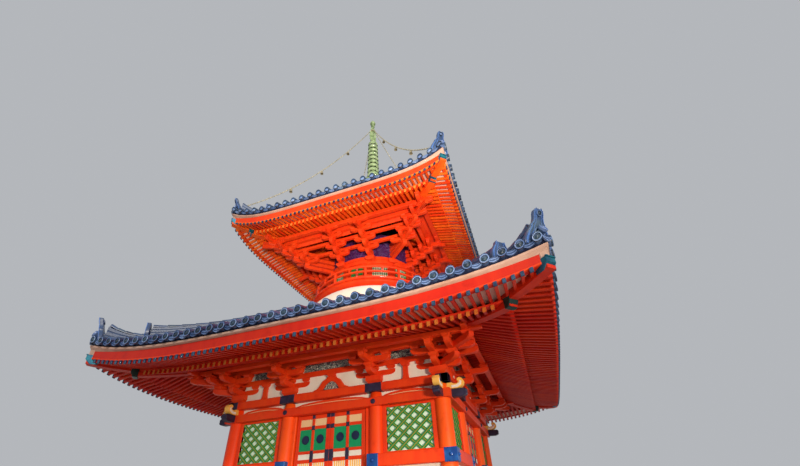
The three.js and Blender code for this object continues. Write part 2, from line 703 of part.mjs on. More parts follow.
/** The four-step bracket sets that carry the square upper eave from the round drum. */
function buildUpperSets() {
  const { z, steps, out, rise, arm, width, core, coreIn } = UPPER_SETS;
  const half = width / 2;
  const top = rafterUnderside(UPPER, core) - 25;
  const parts = [roundRing([[coreIn, z + GAP], [core, z + GAP], [core, top], [coreIn, top]], DRUM.segments)];
  const stepOut = (k) => core - 50 + out * k;
  const outline = (scale) => {
    const points = [[coreIn + 20, z + 20]];
    for (let k = 1; k <= steps; k += 1) {
      points.push([(stepOut(k) + half) * scale, z + 20 + rise * (k - 1)]);
      points.push([(stepOut(k) + half) * scale, Math.min(z + 20 + rise * k, PURLIN_U.z + 5)]);
    }
    return [...points, [coreIn + 20, PURLIN_U.z + 5]];
  };
  for (let k = 1; k < steps; k += 1) {
    const v = stepOut(k);
    const foot = z + rise * (k - 1) + arm + 60;
    parts.push(squareRing(v + half - 10, v - half + 10, foot, z + rise * k + arm - 20));
  }
  for (const x of [-0.36, 0.36]) {
    const arms = steppedArm(outline(1), width);
    arms.translate(x * DRUM.r, 0, 0);
    parts.push(...onFourSides(arms));
  }
  const hip = steppedArm(outline(Math.SQRT2), width);
  hip.rotateZ(Math.PI / 4);
  parts.push(...onFourSides(hip));
  parts.push(purlinRing(UPPER, PURLIN_U));
  addSides('upper_brackets', join(parts), VERMILION);
}

/** The bronze finial: box, bowl and lotus below, pole with nine rings and jewel above. */
function buildFinial() {
  const { base, baseZ, baseTop, bowlTop, lotusTop, top } = FINIAL;
  const { poleR, rings, ringZ, ringStep, ringR, ringThick } = FINIAL;
  const bowl = turnedSolid([
    [0, baseTop - 10], [base * 0.86, baseTop - 10], [base * 0.84, baseTop + 90], [base * 0.62, bowlTop - 90],
    [base * 0.3, bowlTop], [base * 0.3, bowlTop + 60], [base * 0.72, lotusTop], [0, lotusTop],
  ], 20);
  add('finial_base', join([
    box(-base, base, -base, base, baseZ + 60, baseTop - 60),
    box(-base - 45, base + 45, -base - 45, base + 45, baseTop - 60, baseTop),
    box(-base - 30, base + 30, -base - 30, base + 30, baseZ, baseZ + 60),
    bowl,
  ]), BRONZE);

  const outline = [[0, lotusTop + GAP], [poleR, lotusTop + GAP]];
  for (let i = 0; i < rings; i += 1) {
    const z = ringZ + i * ringStep;
    outline.push([poleR, z], [ringR, z], [ringR, z + ringThick], [poleR, z + ringThick]);
  }
  const above = ringZ + rings * ringStep;
  outline.push(
    [poleR, above], [120, above + 60], [poleR, above + 130], [poleR, above + 340], [125, above + 420],
    [poleR, above + 480], [poleR, top - 420], [105, top - 330], [115, top - 220], [60, top - 90], [0, top],
  );
  add('finial_spire', turnedSolid(outline, 12), BRONZE);
}

/** Four hanging chains from the finial's head to the corners of the upper roof, joined by their collar. */
function buildChains() {
  const z = FINIAL.chainZ;
  const [bore, rim] = [FINIAL.poleR + GAP, CHAIN.start + 10];
  const parts = [roundRing([[bore, z - 25], [rim, z - 25], [rim, z + 25], [bore, z + 25]], 12)];
  const section = new THREE.Shape();
  for (let i = 0; i < 4; i += 1) {
    const turn = (i * Math.PI) / 2;
    const point = [CHAIN.r * Math.cos(turn), CHAIN.r * Math.sin(turn)];
    if (i === 0) {
      section.moveTo(...point);
    } else {
      section.lineTo(...point);
    }
  }
  const tail = [UPPER.tileEdge - TAIL_RIDGE.start, UPPER.tileEdge - TAIL_RIDGE.end];
  const endZ = ridgeTop(UPPER, TAIL_RIDGE, CHAIN.endOut, ...tail) + CHAIN.r + 4;
  const points = [];
  for (let i = 0; i <= CHAIN.steps; i += 1) {
    const t = i / CHAIN.steps;
    const out = CHAIN.start / Math.SQRT2 + (CHAIN.endOut - CHAIN.start / Math.SQRT2) * t;
    const height = z + (endZ - z) * t - 4 * CHAIN.sag * t * (1 - t);
    points.push(new THREE.Vector3(out, -out, height));
  }
  const curve = new THREE.CatmullRomCurve3(points);
  const run = { steps: CHAIN.steps, extrudePath: curve, bevelEnabled: false };
  const strand = new THREE.ExtrudeGeometry(section, run);
  parts.push(...onFourSides(strand));
  add('finial_chains', join(parts), BRONZE);
}

buildBase();
buildVeranda();
buildFloor();
buildColumns();
buildRails();
buildWallBays();
buildDoors();
buildLowerSets();
add('lower_eave', eaveBody(LOWER), VERMILION);
const domeHole = solidOf(post(0, 0, DOME.foot + GAP, DOME.z - 400, LOWER.roofTop + 700, DRUM.segments));
add('lower_roof', tiledRoof(LOWER, LOWER.roofHead + 150).subtract(domeHole), TILE);
buildUpperStorey();
buildUpperSets();
add('upper_eave', eaveBody(UPPER), VERMILION);
add('upper_roof', tiledRoof(UPPER, UPPER.roofHead + 220), TILE);
buildFinial();
buildChains();

export default pagoda;
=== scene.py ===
"""The looks of a two-storey treasure pagoda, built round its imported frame.

Metres, +Z up, the front towards -Y. A side piece is made on the front and repeated by quarter turns.
"""

from __future__ import annotations

import sys

import json
import logging
import math
import random
from collections.abc import Callable, Iterator, Sequence
from contextlib import contextmanager
from dataclasses import dataclass, replace
from enum import Enum
from functools import cache

import bpy
import numpy as np
from mathutils import Matrix, Vector

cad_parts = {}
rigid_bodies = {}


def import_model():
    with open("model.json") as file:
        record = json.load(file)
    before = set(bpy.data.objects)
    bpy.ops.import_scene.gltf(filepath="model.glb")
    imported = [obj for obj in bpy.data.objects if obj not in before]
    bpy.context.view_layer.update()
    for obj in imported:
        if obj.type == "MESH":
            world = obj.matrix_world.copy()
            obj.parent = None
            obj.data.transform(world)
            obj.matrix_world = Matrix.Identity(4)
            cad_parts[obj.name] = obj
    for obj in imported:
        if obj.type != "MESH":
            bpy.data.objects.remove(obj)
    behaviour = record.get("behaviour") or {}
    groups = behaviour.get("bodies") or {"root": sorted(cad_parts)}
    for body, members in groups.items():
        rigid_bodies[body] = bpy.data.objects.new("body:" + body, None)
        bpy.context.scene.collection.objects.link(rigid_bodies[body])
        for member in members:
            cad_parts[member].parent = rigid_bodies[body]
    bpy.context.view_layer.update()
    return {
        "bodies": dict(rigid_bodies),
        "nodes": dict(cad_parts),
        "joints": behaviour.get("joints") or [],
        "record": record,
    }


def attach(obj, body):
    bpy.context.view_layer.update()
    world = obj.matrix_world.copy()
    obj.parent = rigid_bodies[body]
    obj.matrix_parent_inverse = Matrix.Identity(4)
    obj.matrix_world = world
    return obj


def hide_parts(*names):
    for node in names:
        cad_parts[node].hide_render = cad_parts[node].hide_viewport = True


LOG = logging.getLogger("pagoda")
CHANCE = random.Random(7)
QUARTER = math.pi / 2
ROOT2 = math.sqrt(2)
SIDES = ("front", "right", "back", "left")
Points = np.ndarray
Outline = Sequence[tuple[float, float]]
Place = Sequence[float]
Colour = tuple[float, float, float]


class Storey(Enum):
    """The two storeys."""

    LOWER = "lower"
    UPPER = "upper"


class Slot(Enum):
    """The record's material slots."""

    VERMILION = "vermilion"
    PLASTER = "plaster"
    STONE = "stone"
    TIMBER = "bare_timber"
    BOARD = "white_board"
    TILE = "roof_tile"
    BRONZE = "bronze"


# Forms as arrays


@dataclass
class Form:
    """A modelled form as plain arrays, so that it can be copied many times.

    Attributes:
        points: Corner points, one row each.
        corners: Point number of every face corner, face after face.
        counts: Number of corners of every face.
        finish: Number of the finish of every face.
        tint: A shade from 0 to 1 for every point.
    """

    points: Points
    corners: np.ndarray
    counts: np.ndarray
    finish: np.ndarray
    tint: np.ndarray

    @classmethod
    def taken(cls, piece: bpy.types.Object) -> Form:
        """Reads a modelled object and removes it.

        Args:
            piece: The object.

        Returns:
            Its form.
        """
        mesh = piece.data
        points = np.empty(len(mesh.vertices) * 3)
        mesh.vertices.foreach_get("co", points)
        corners = np.empty(len(mesh.loops), np.int32)
        mesh.loops.foreach_get("vertex_index", corners)
        counts = np.empty(len(mesh.polygons), np.int32)
        mesh.polygons.foreach_get("loop_total", counts)
        bpy.data.objects.remove(piece)
        bpy.data.meshes.remove(mesh)
        points = points.reshape(-1, 3)
        return cls(points, corners, counts, np.zeros(len(counts), np.int32), np.full(len(points), 0.5))

    def placed(self, matrix: Matrix) -> Form:
        """This form moved by a matrix."""
        turn = np.array(matrix.to_3x3())
        return replace(self, points=self.points @ turn.T + np.array(matrix.translation))

    def moved(self, x: float = 0.0, y: float = 0.0, z: float = 0.0) -> Form:
        """This form shifted."""
        return replace(self, points=self.points + (x, y, z))

    def turned(self, angle: float, axis: str = "Z") -> Form:
        """This form turned about an axis through the origin."""
        return self.placed(Matrix.Rotation(angle, 4, axis))

    def scaled(self, x: float = 1.0, y: float = 1.0, z: float = 1.0) -> Form:
        """This form made larger or smaller along each axis."""
        return replace(self, points=self.points * (x, y, z))

    def mirrored(self) -> Form:
        """This form's mirror image in x, with its faces still outwards."""
        flipped = replace(self, points=self.points * (-1, 1, 1))
        return replace(
            flipped, corners=self.corners[::-1], counts=self.counts[::-1], finish=self.finish[::-1],
        )

    def reshaped(self, rule: Callable[[Points], Points]) -> Form:
        """This form with its points moved by a rule."""
        return replace(self, points=rule(self.points.copy()))

    def stretched(self, x: float, y: float, z: float) -> Form:
        """This form, modelled one metre each way, at other sizes with its worked edges kept as they are."""
        size = np.array((x, y, z))
        return replace(self, points=np.sign(self.points) * (size / 2 - (0.5 - np.abs(self.points))))

    @property
    def starts(self) -> np.ndarray:
        """Where each face begins among the corners."""
        return np.concatenate(([0], np.cumsum(self.counts)[:-1])).astype(np.int32)

    def faces(self) -> tuple[Points, Points]:
        """The middle of every face, and the direction that it looks in.

        Returns:
            The middles and the directions, one row each.
        """
        starts = self.starts
        first, second, third = (self.points[self.corners[starts + k]] for k in range(3))
        normals = np.cross(second - first, third - first)
        normals /= np.maximum(np.linalg.norm(normals, axis=1), 1e-12)[:, None]
        return np.add.reduceat(self.points[self.corners], starts) / self.counts[:, None], normals

    def painted(self, number: int, where: Callable[[Points, Points], np.ndarray] | None = None) -> Form:
        """This form with another finish.

        Args:
            number: The finish's number in its piece.
            where: Says from the middles and directions which faces take it; all of them if None.

        Returns:
            The painted form.
        """
        mask = np.ones(len(self.counts), bool) if where is None else where(*self.faces())
        return replace(self, finish=np.where(mask, number, self.finish).astype(np.int32))

    def varied(self) -> Form:
        """This form with a shade of its own, drawn by chance."""
        return replace(self, tint=np.full(len(self.points), CHANCE.random()))


def joined(forms: Sequence[Form]) -> Form:
    """Several forms as one.

    Args:
        forms: The forms.

    Returns:
        One form that holds them all.
    """
    offsets = np.cumsum([0, *[len(form.points) for form in forms[:-1]]]).astype(np.int32)
    corners = [form.corners + start for form, start in zip(forms, offsets)]
    points, counts, finish, tint = (
        np.concatenate([getattr(form, part) for form in forms]) for part in (
            "points", "counts", "finish", "tint",
        )
    )
    return Form(points, np.concatenate(corners), counts, finish, tint)


def on_four_sides(*forms: Form) -> Form:
    """Forms of the front, on all four sides."""
    front = joined(forms)
    return joined([front.turned(QUARTER * quarter) for quarter in range(4)])


def with_mirrors(*forms: Form) -> list[Form]:
    """Forms, each followed by its mirror image in x."""
    return [one for form in forms for one in (form, form.mirrored())]


def each_side(stem: str) -> list[str]:
    """A node's name on each of the four sides."""
    return [f"{stem}_{side}" for side in SIDES]


# Modelling with Blender's operators


@contextmanager
def editing(piece: bpy.types.Object) -> Iterator[None]:
    """Edit mode on one object with everything in it selected."""
    bpy.context.view_layer.objects.active = piece
    bpy.ops.object.mode_set(mode="EDIT")
    bpy.ops.mesh.select_all(action="SELECT")
    yield
    bpy.ops.object.mode_set(mode="OBJECT")


def primitive(make: Callable, **settings: object) -> bpy.types.Object:
    """An object made by an operator, alone in the selection, with its place and turn applied.

    Args:
        make: The operator.
        settings: What it is given.

    Returns:
        The object.
    """
    bpy.ops.object.select_all(action="DESELECT")
    make(**settings)
    bpy.ops.object.transform_apply(location=True, rotation=True, scale=True)
    return bpy.context.object


def outlined(points: Sequence[Place], filled: bool) -> bpy.types.Object:
    """A circle primitive with its points drawn to places.

    Args:
        points: The places, in order round the outline.
        filled: Whether the outline has a face.

    Returns:
        The object.
    """
    fill = "NGON" if filled else "NOTHING"
    piece = primitive(bpy.ops.mesh.primitive_circle_add, vertices=len(points), fill_type=fill)
    piece.data.vertices.foreach_set("co", np.array(points, float).ravel())
    piece.data.update()
    return piece


def on_edges(
    piece: bpy.types.Object, chosen: Callable[[set[int]], bool], work: Callable, **settings: object,
) -> None:
    """Works on some edges of an object with an operator of edit mode.

    Args:
        piece: The object.
        chosen: Says from an edge's two point numbers whether it is worked on.
        work: The operator.
        settings: What it is given.
    """
    with editing(piece):
        bpy.ops.mesh.select_mode(type="EDGE")
        bpy.ops.mesh.select_all(action="DESELECT")
    for line in piece.data.edges:
        line.select = chosen(set(line.vertices))
    bpy.ops.object.mode_set(mode="EDIT")
    work(**settings)
    bpy.ops.mesh.select_mode(type="VERT")
    bpy.ops.object.mode_set(mode="OBJECT")


def extruded(points: Sequence[Place], moves: Sequence[Place], filled: bool) -> bpy.types.Object:
    """An outline extruded by one move after another.

    Args:
        points: The outline in order.
        moves: The moves.
        filled: Whether the outline has a face.

    Returns:
        The object.
    """
    piece = outlined(points, filled)
    with editing(piece):
        for move in moves:
            bpy.ops.mesh.extrude_region_move(TRANSFORM_OT_translate={"value": move})
        bpy.ops.mesh.select_all(action="SELECT")
        bpy.ops.mesh.normals_make_consistent(inside=False)
    return piece


@cache
def eased_cube(edge: float, ends: bool) -> Form:
    """A cube of one metre with eased edges.

    Args:
        edge: Width of the eased edges.
        ends: Whether the edges of its two ends along y are eased too.

    Returns:
        The form.
    """
    piece = primitive(bpy.ops.mesh.primitive_cube_add, size=1)
    if ends:
        with editing(piece):
            bpy.ops.mesh.bevel(offset=edge, segments=1)
    else:
        ys = [point.co.y for point in piece.data.vertices]
        on_edges(
            piece, lambda pair: len({ys[k] > 0 for k in pair}) == 2, bpy.ops.mesh.bevel, offset=edge,
            segments=1,
        )
    return Form.taken(piece)


def block(size: Place, centre: Place, edge: float = 0.006) -> Form:
    """A squared timber or stone of a size about its middle, with eased edges."""
    return eased_cube(edge, True).stretched(*size).moved(*centre)


def span(low: Place, high: Place, edge: float = 0.006) -> Form:
    """A squared timber between its lowest and highest corners."""
    size = [b - a for a, b in zip(low, high)]
    return block(size, [(a + b) / 2 for a, b in zip(low, high)], edge)


def stick(size: Place, edge: float = 0.006) -> Form:
    """A light timber along y from 0 inwards with its underside at z = 0, and only its long edges eased."""
    return eased_cube(edge, False).stretched(*size).moved(0, size[1] / 2, size[2] / 2)


def plate(outline: Outline, depth: float, edge: float = 0.0) -> Form:
    """An upright plate with an outline in x and z, centred on y = 0.

    Args:
        outline: Points of the outline in order.
        depth: Its thickness.
        edge: Width of its eased edges.

    Returns:
        The form.
    """
    piece = extruded([(x, -depth / 2, z) for x, z in outline], [(0, depth, 0)], True)
    if edge:
        bpy.context.view_layer.objects.active = piece
        bevel = piece.modifiers.new("edge", "BEVEL")
        bevel.width = edge
        bevel.segments = 1
        bevel.limit_method = "ANGLE"
        bevel.angle_limit = math.radians(40)
        bpy.ops.object.modifier_apply(modifier=bevel.name)
    return Form.taken(piece)


def run(section: Outline, stations: Sequence[float], filled: bool = False) -> Form:
    """A moulding along x: its section in y and z, the x of each cut, and whether its ends are closed."""
    moves = [(end - start, 0, 0) for start, end in zip(stations, stations[1:])]
    return Form.taken(extruded([(stations[0], y, z) for y, z in section], moves, filled))


def spun(profile: Outline, steps: int, closed: bool = False) -> Form:
    """A form spun about the z axis; four steps give a square one.

    Args:
        profile: Radius and height of its points, from the axis to the axis, or round a closed ring.
        steps: Number of steps round the axis.
        closed: Whether the profile is a ring that stays clear of the axis.

    Returns:
        The form.
    """
    piece = outlined([(radius, 0, z) for radius, z in profile], False)
    if not closed:
        on_edges(piece, lambda pair: pair == {len(profile) - 1, 0}, bpy.ops.mesh.delete, type="EDGE")
    with editing(piece):
        bpy.ops.mesh.spin(steps=steps, angle=2 * math.pi, center=(0, 0, 0), axis=(0, 0, 1))
        bpy.ops.mesh.select_all(action="SELECT")
        bpy.ops.mesh.remove_doubles(threshold=1e-5)
        bpy.ops.mesh.normals_make_consistent(inside=False)
    return Form.taken(piece)


def squared(profile: Outline, closed: bool = False) -> Form:
    """A form of square plan; the profile gives its half width at each height."""
    form = spun([(half * ROOT2, z) for half, z in profile], 4, closed)
    return form.turned(QUARTER / 2)


def shell(radius: float, length: float, taper: float, sides: int) -> Form:
    """A half round cover tile along y from 0 inwards, a little narrower at its inner end.

    Args:
        radius: Radius of its lower end.
        length: Its length.
        taper: The inner end's size against the lower end's.
        sides: Faces round a whole turn.

    Returns:
        The form.
    """
    piece = primitive(
        bpy.ops.mesh.primitive_cylinder_add, vertices=sides, radius=radius, depth=length,
        location=(0, length / 2, 0), rotation=(QUARTER, 0, 0),
    )
    with editing(piece):
        bpy.ops.mesh.bisect(plane_co=(0, 0, 0), plane_no=(0, 0, 1), clear_inner=True, use_fill=False)
    form = Form.taken(piece)
    form.points[form.points[:, 1] > length / 2] *= (taper, 1, taper)
    return form


def pan(width: float, length: float, dip: float, thick: float) -> Form:
    """A dished flat tile along y from 0 inwards.

    Args:
        width: Its width.
        length: Its length.
        dip: How far its middle lies below its edges.
        thick: Its thickness.

    Returns:
        The form.
    """
    grid = {"x_subdivisions": 4, "y_subdivisions": 1, "size": 1, "location": (0, 0.5, 0)}
    piece = primitive(bpy.ops.mesh.primitive_grid_add, **grid)
    solid = piece.modifiers.new("thickness", "SOLIDIFY")
    solid.thickness = thick
    bpy.ops.object.modifier_apply(modifier=solid.name)
    form = Form.taken(piece).scaled(width, length, 1)
    form.points[:, 2] += dip * (2 * form.points[:, 0] / width) ** 2
    return form


@cache
def arm(length: float, height: float, width: float, one_end: bool = False) -> Form:
    """A bracket arm along x with its ends rounded up like a boat's.

    Args:
        length: Its length; it is centred on x = 0, or starts there if only one end is rounded.
        height: Its height; z = 0 is its underside.
        width: Its width.
        one_end: Whether only the far end is rounded.

    Returns:
        The form.
    """
    reach = min(0.14, length / 4)
    end = length if one_end else length / 2
    right = []
    for k in range(5):
        angle = k * QUARTER / 4
        right.append((end - reach * (1 - math.sin(angle)), height * 0.62 * (1 - math.cos(angle))))
    left = [(0, height), (0, 0)] if one_end else [(-x, z) for x, z in [(end, height), *reversed(right)]]
    return plate([*left, *right, (end, height)], width, 0.006)


@cache
def bearing(half: float, height: float) -> Form:
    """A bearing block of a half width and height with a hollowed foot; z = 0 is its underside."""
    foot = [
        (half * (0.7 + 0.3 * share), height * up)
        for share, up in ((0, 0), (0.25, 0.12), (0.6, 0.27), (1, 0.42))
    ]
    return squared([(0, 0), *foot, (half, height - 0.004), (half - 0.004, height), (0, height)])


def ring(outer: float, inner: float, low: float, high: float, edge: float = 0.008, steps: int = 4) -> Form:
    """A ring between two half widths and two heights, its outer edges eased; it is square in four steps."""
    eased = [(outer - edge, low), (outer, low + edge), (outer, high - edge), (outer - edge, high)]
    outline = [(inner, low), *eased, (inner, high)]
    return squared(outline, closed=True) if steps == 4 else spun(outline, steps, closed=True)


def stud(radius: float) -> Form:
    """A domed nail cover that looks towards -Y."""
    dome = [
        (radius * share, z)
        for share, z in ((0, 0), (1, 0), (0.9, 0.012), (0.5, 0.018), (0.45, 0.028), (0, 0.032))
    ]
    return spun(dome, 12).turned(QUARTER, "X")


def loaded_arm(
    length: float, timber: tuple[float, float], half: float, height: float, count: int = 3,
) -> Form:
    """A bracket arm along x of a width and height, with bearing blocks of a half width and height."""
    places = np.linspace(half + 0.004 - length / 2, length / 2 - half - 0.004, count)
    return joined(
        [arm(length, timber[1], timber[0]), *[bearing(half, height).moved(x, 0, timber[1]) for x in places]]
    )


def bell(radius: float, tall: float) -> Form:
    """A small hanging bell with its top at z = 0."""
    shares = ((0.62, 0.12), (0.78, 0.45), (1, 1), (0.86, 1), (0.5, 0.4), (0, 0.3))
    return spun([(0, 0), (radius * 0.25, -0.01), *[(radius * a, -tall * b) for a, b in shares]], 12)


# Finishes


class Sum:
    """A number in a shader that adds its own Math nodes when it is reckoned with."""

    def __init__(self, finish: Finish, socket: bpy.types.NodeSocket) -> None:
        """Wraps a socket."""
        self.finish = finish
        self.socket = socket

    def _with(self, operation: str, *numbers: Sum | float) -> Sum:
        """Some numbers put through one Math node."""
        node = self.finish.node("ShaderNodeMath", {"operation": operation}, dict(enumerate(numbers)))
        return Sum(self.finish, node.outputs[0])

    def __add__(self, other: Sum | float) -> Sum:
        """Sum."""
        return self._with("ADD", self, other)

    __radd__ = __add__

    def __mul__(self, other: Sum | float) -> Sum:
        """Product."""
        return self._with("MULTIPLY", self, other)

    __rmul__ = __mul__

    def __sub__(self, other: Sum | float) -> Sum:
        """Difference."""
        return self._with("SUBTRACT", self, other)

    def __rsub__(self, other: float) -> Sum:
        """Difference from a number."""
        return self._with("SUBTRACT", other, self)

    def __mod__(self, other: float) -> Sum:
        """Remainder that is never negative."""
        return self._with("FLOORED_MODULO", self, other)

    def __abs__(self) -> Sum:
        """Size without sign."""
        return self._with("ABSOLUTE", self)

    def held(self, most: float = 1.0) -> Sum:
        """This, kept between nothing and a limit."""
        return self._with("MINIMUM", self._with("MAXIMUM", self, 0.0), most)


class Finish:
    """One material, made node by node."""

    def __init__(self, name: str, metallic: float = 0.0, coat: float = 0.0) -> None:
        """Starts a material with a Principled shader.

        Args:
            name: The material's name.
            metallic: How metallic it is.
            coat: Weight of its clear coat.
        """
        self.material = bpy.data.materials.new(name)
        self.material.use_nodes = True
        self.tree = self.material.node_tree
        self.shader = self.tree.nodes["Principled BSDF"]
        self.feed(self.shader, {"Metallic": metallic, "Coat Weight": coat})
        self.place = self.node("ShaderNodeTexCoord").outputs["Object"]

    def feed(self, node: bpy.types.Node, sockets: dict[str | int, object]) -> None:
        """Joins links to a node's sockets, or gives them values.

        Args:
            node: The node.
            sockets: Values, sums or links, by the socket's name or number.
        """
        for key, value in sockets.items():
            socket = node.inputs[key]
            value = value.socket if isinstance(value, Sum) else value
            if isinstance(value, bpy.types.NodeSocket):
                self.tree.links.new(value, socket)
            else:
                socket.default_value = (*value, 1.0) if socket.type == "RGBA" else value

    def node(self, kind: str, settings: dict | None = None, sockets: dict | None = None) -> bpy.types.Node:
        """Makes one node.

        Args:
            kind: The node's type.
            settings: Its settings; "stops" holds the places and colours of a ramp.
            sockets: Values or links of its sockets, by name or number.

        Returns:
            The node.
        """
        made = self.tree.nodes.new(kind)
        for name, value in (settings or {}).items():
            if name == "stops":
                self._set_stops(made.color_ramp.elements, value)
            else:
                setattr(made, name, value)
        self.feed(made, sockets or {})
        return made

    @staticmethod
    def _set_stops(elements: bpy.types.ColorRampElements, stops: Sequence[tuple[float, Colour]]) -> None:
        """Gives a ramp its stops.

        Args:
            elements: The ramp's elements.
            stops: Where each colour stands, and the colour.
        """
        while len(elements) < len(stops):
            elements.new(0.5)
        for element, (at, colour) in zip(elements, stops):
            element.position = at
            element.color = (*colour, 1.0)

    def texture(self, kind: str, output: str, **sockets: object) -> Sum:
        """One output of a texture over the object."""
        return Sum(
            self, self.node(f"ShaderNodeTex{kind}", {}, {"Vector": self.place, **sockets}).outputs[output],
        )

    def noise(self, scale: float, detail: float = 3, stretch: Colour = (1, 1, 1)) -> Sum:
        """Soft noise from 0 to 1; it is longer along the axes that have a small stretch."""
        place = self.node("ShaderNodeMapping", {}, {"Vector": self.place, "Scale": stretch}).outputs[0]
        return self.texture("Noise", "Fac", Vector=place, Scale=scale, Detail=detail)

    def tint(self) -> Sum:
        """The shade that each copied form was given."""
        return Sum(self, self.node("ShaderNodeAttribute", {"attribute_name": "tint"}).outputs["Fac"])

    def ramp(self, value: Sum, stops: Sequence[tuple[float, Colour]]) -> bpy.types.NodeSocket:
        """A colour that changes with a number."""
        return self.node("ShaderNodeValToRGB", {"stops": stops}, {0: value}).outputs[0]

    def mixed(self, share: Sum, first: object, second: object) -> bpy.types.NodeSocket:
        """A colour that is a share of the way from one colour or link to another."""
        return self.node("ShaderNodeMix", {"data_type": "RGBA"}, {0: share, 6: first, 7: second}).outputs[2]

    def done(
        self, colour: object, roughness: object, relief: Sum | None = None, depth: float = 0.002,
    ) -> bpy.types.Material:
        """Joins the colour, roughness and relief to the shader.

        Args:
            colour: Colour or link.
            roughness: Number or sum.
            relief: Height of the relief, from 0 to 1.
            depth: Depth of the relief.

        Returns:
            The material.
        """
        self.feed(self.shader, {"Base Color": colour, "Roughness": roughness})
        if relief is not None:
            bump = self.node("ShaderNodeBump", {}, {"Height": relief, "Strength": 1.0, "Distance": depth})
            self.feed(self.shader, {"Normal": bump.outputs[0]})
        return self.material


@dataclass(frozen=True)
class Paint:
    """Oil paint on timber, faded here and there, with a faint grain.

    Attributes:
        name: The material's name.
        main: Its colour.
        faded: The colour of its faded places.
        gloss: Its roughness.
        fading: How much of it is faded.
    """

    name: str
    main: Colour
    faded: Colour
    gloss: float = 0.42
    fading: float = 0.5

    def made(self) -> bpy.types.Material:
        """Makes the material."""
        finish = Finish(self.name, coat=0.03)
        finish.shader.inputs["Specular IOR Level"].default_value = 0.22
        broad = finish.noise(0.9, 4)
        streaks = finish.noise(3.0, 3, (2.2, 2.2, 0.25))
        grain = finish.noise(30, 2, (1, 1, 0.12))
        share = ((broad * 0.6 + streaks * 0.6 + finish.tint() * 0.5 - 0.62) * (2.2 * self.fading)).held()
        dark = tuple(part * 0.72 for part in self.main)
        body = finish.mixed(share, self.main, self.faded)
        grime = ((finish.noise(6, 4) - 0.58) * 3.0).held(0.7)
        colour = finish.mixed(grime, body, dark)
        return finish.done(
            colour, self.gloss + streaks * 0.16, grain * 0.6 + finish.noise(90, 2) * 0.4, 0.0016,
        )


@dataclass(frozen=True)
class Clay:
    """Smoked roof tile: blue-grey, each tile a shade of its own, with a soft silver sheen.

    Attributes:
        name: The material's name.
        shades: Its colours, from dark to light.
    """

    name: str
    shades: tuple[Colour, Colour, Colour, Colour]

    def made(self) -> bpy.types.Material:
        """Makes the material."""
        finish = Finish(self.name, coat=0.25)
        finish.shader.inputs["Coat Roughness"].default_value = 0.3
        clouds = finish.noise(5, 4)
        value = finish.tint() * 0.6 + clouds * 0.55 - 0.08
        colour = finish.ramp(value, list(zip((0.1, 0.45, 0.75, 1.0), self.shades)))
        lichen = ((finish.noise(2.3, 5) - 0.62) * 6).held(0.3)
        colour = finish.mixed(lichen, colour, (0.10, 0.16, 0.16))
        return finish.done(colour, 0.3 + clouds * 0.25, finish.noise(45, 4), 0.003)


@dataclass(frozen=True)
class Plaster:
    """Lime plaster with faint trowel marks and rain stains."""

    name: str = "lime_plaster"
    white: Colour = (0.80, 0.75, 0.66)

    def made(self) -> bpy.types.Material:
        """Makes the material."""
        finish = Finish(self.name)
        stain = ((finish.noise(2.0, 5, (1.6, 1.6, 0.5)) - 0.45) * 1.8).held(0.6)
        colour = finish.mixed(
            stain, self.white, tuple(part * f for part, f in zip(self.white, (0.80, 0.74, 0.66))),
        )
        return finish.done(colour, 0.82, finish.noise(14, 5) * 0.7 + finish.noise(120, 2) * 0.3, 0.004)


@dataclass(frozen=True)
class Metal:
    """Beaten metal fittings with a patina in their hollows."""

    name: str
    main: Colour
    patina: Colour
    metallic: float = 0.5
    roughness: float = 0.38

    def made(self) -> bpy.types.Material:
        """Makes the material."""
        finish = Finish(self.name, metallic=self.metallic, coat=0.15)
        share = ((finish.noise(7, 5) - 0.4) * 2.6).held()
        colour = finish.mixed(share, self.main, self.patina)
        return finish.done(colour, self.roughness + share * 0.2, finish.noise(40, 3), 0.002)


@dataclass(frozen=True)
class Granite:
    """Dressed granite with dark and light grains; each stone has a shade of its own."""

    name: str = "granite"

    def made(self) -> bpy.types.Material:
        """Makes the material."""
        finish = Finish(self.name)
        speckle = finish.texture("Voronoi", "Distance", Scale=160)
        value = finish.noise(1.5, 4) * 0.5 + finish.tint() * 0.35 + speckle * 0.35
        colour = finish.ramp(
            value, [(0.2, (0.17, 0.165, 0.155)), (0.55, (0.33, 0.32, 0.30)), (0.95, (0.52, 0.51, 0.48))],
        )
        return finish.done(colour, 0.85, finish.noise(60, 4), 0.005)


@dataclass(frozen=True)
class Timber:
    """Bare weathered timber with its grain along one axis.

    Attributes:
        name: The material's name.
        along: Fineness of the grain along x, y and z.
        pale: Colour of the early wood.
        dark: Colour of the late wood.
    """

    name: str
    along: Colour
    pale: Colour = (0.30, 0.20, 0.12)
    dark: Colour = (0.13, 0.075, 0.04)

    def made(self) -> bpy.types.Material:
        """Makes the material."""
        finish = Finish(self.name)
        rings = finish.noise(16, 5, self.along)
        value = rings * 0.75 + finish.tint() * 0.4 - 0.1
        colour = finish.ramp(value, [(0.25, self.dark), (0.75, self.pale)])
        return finish.done(colour, 0.65 + rings * 0.2, finish.noise(40, 3, self.along), 0.004)


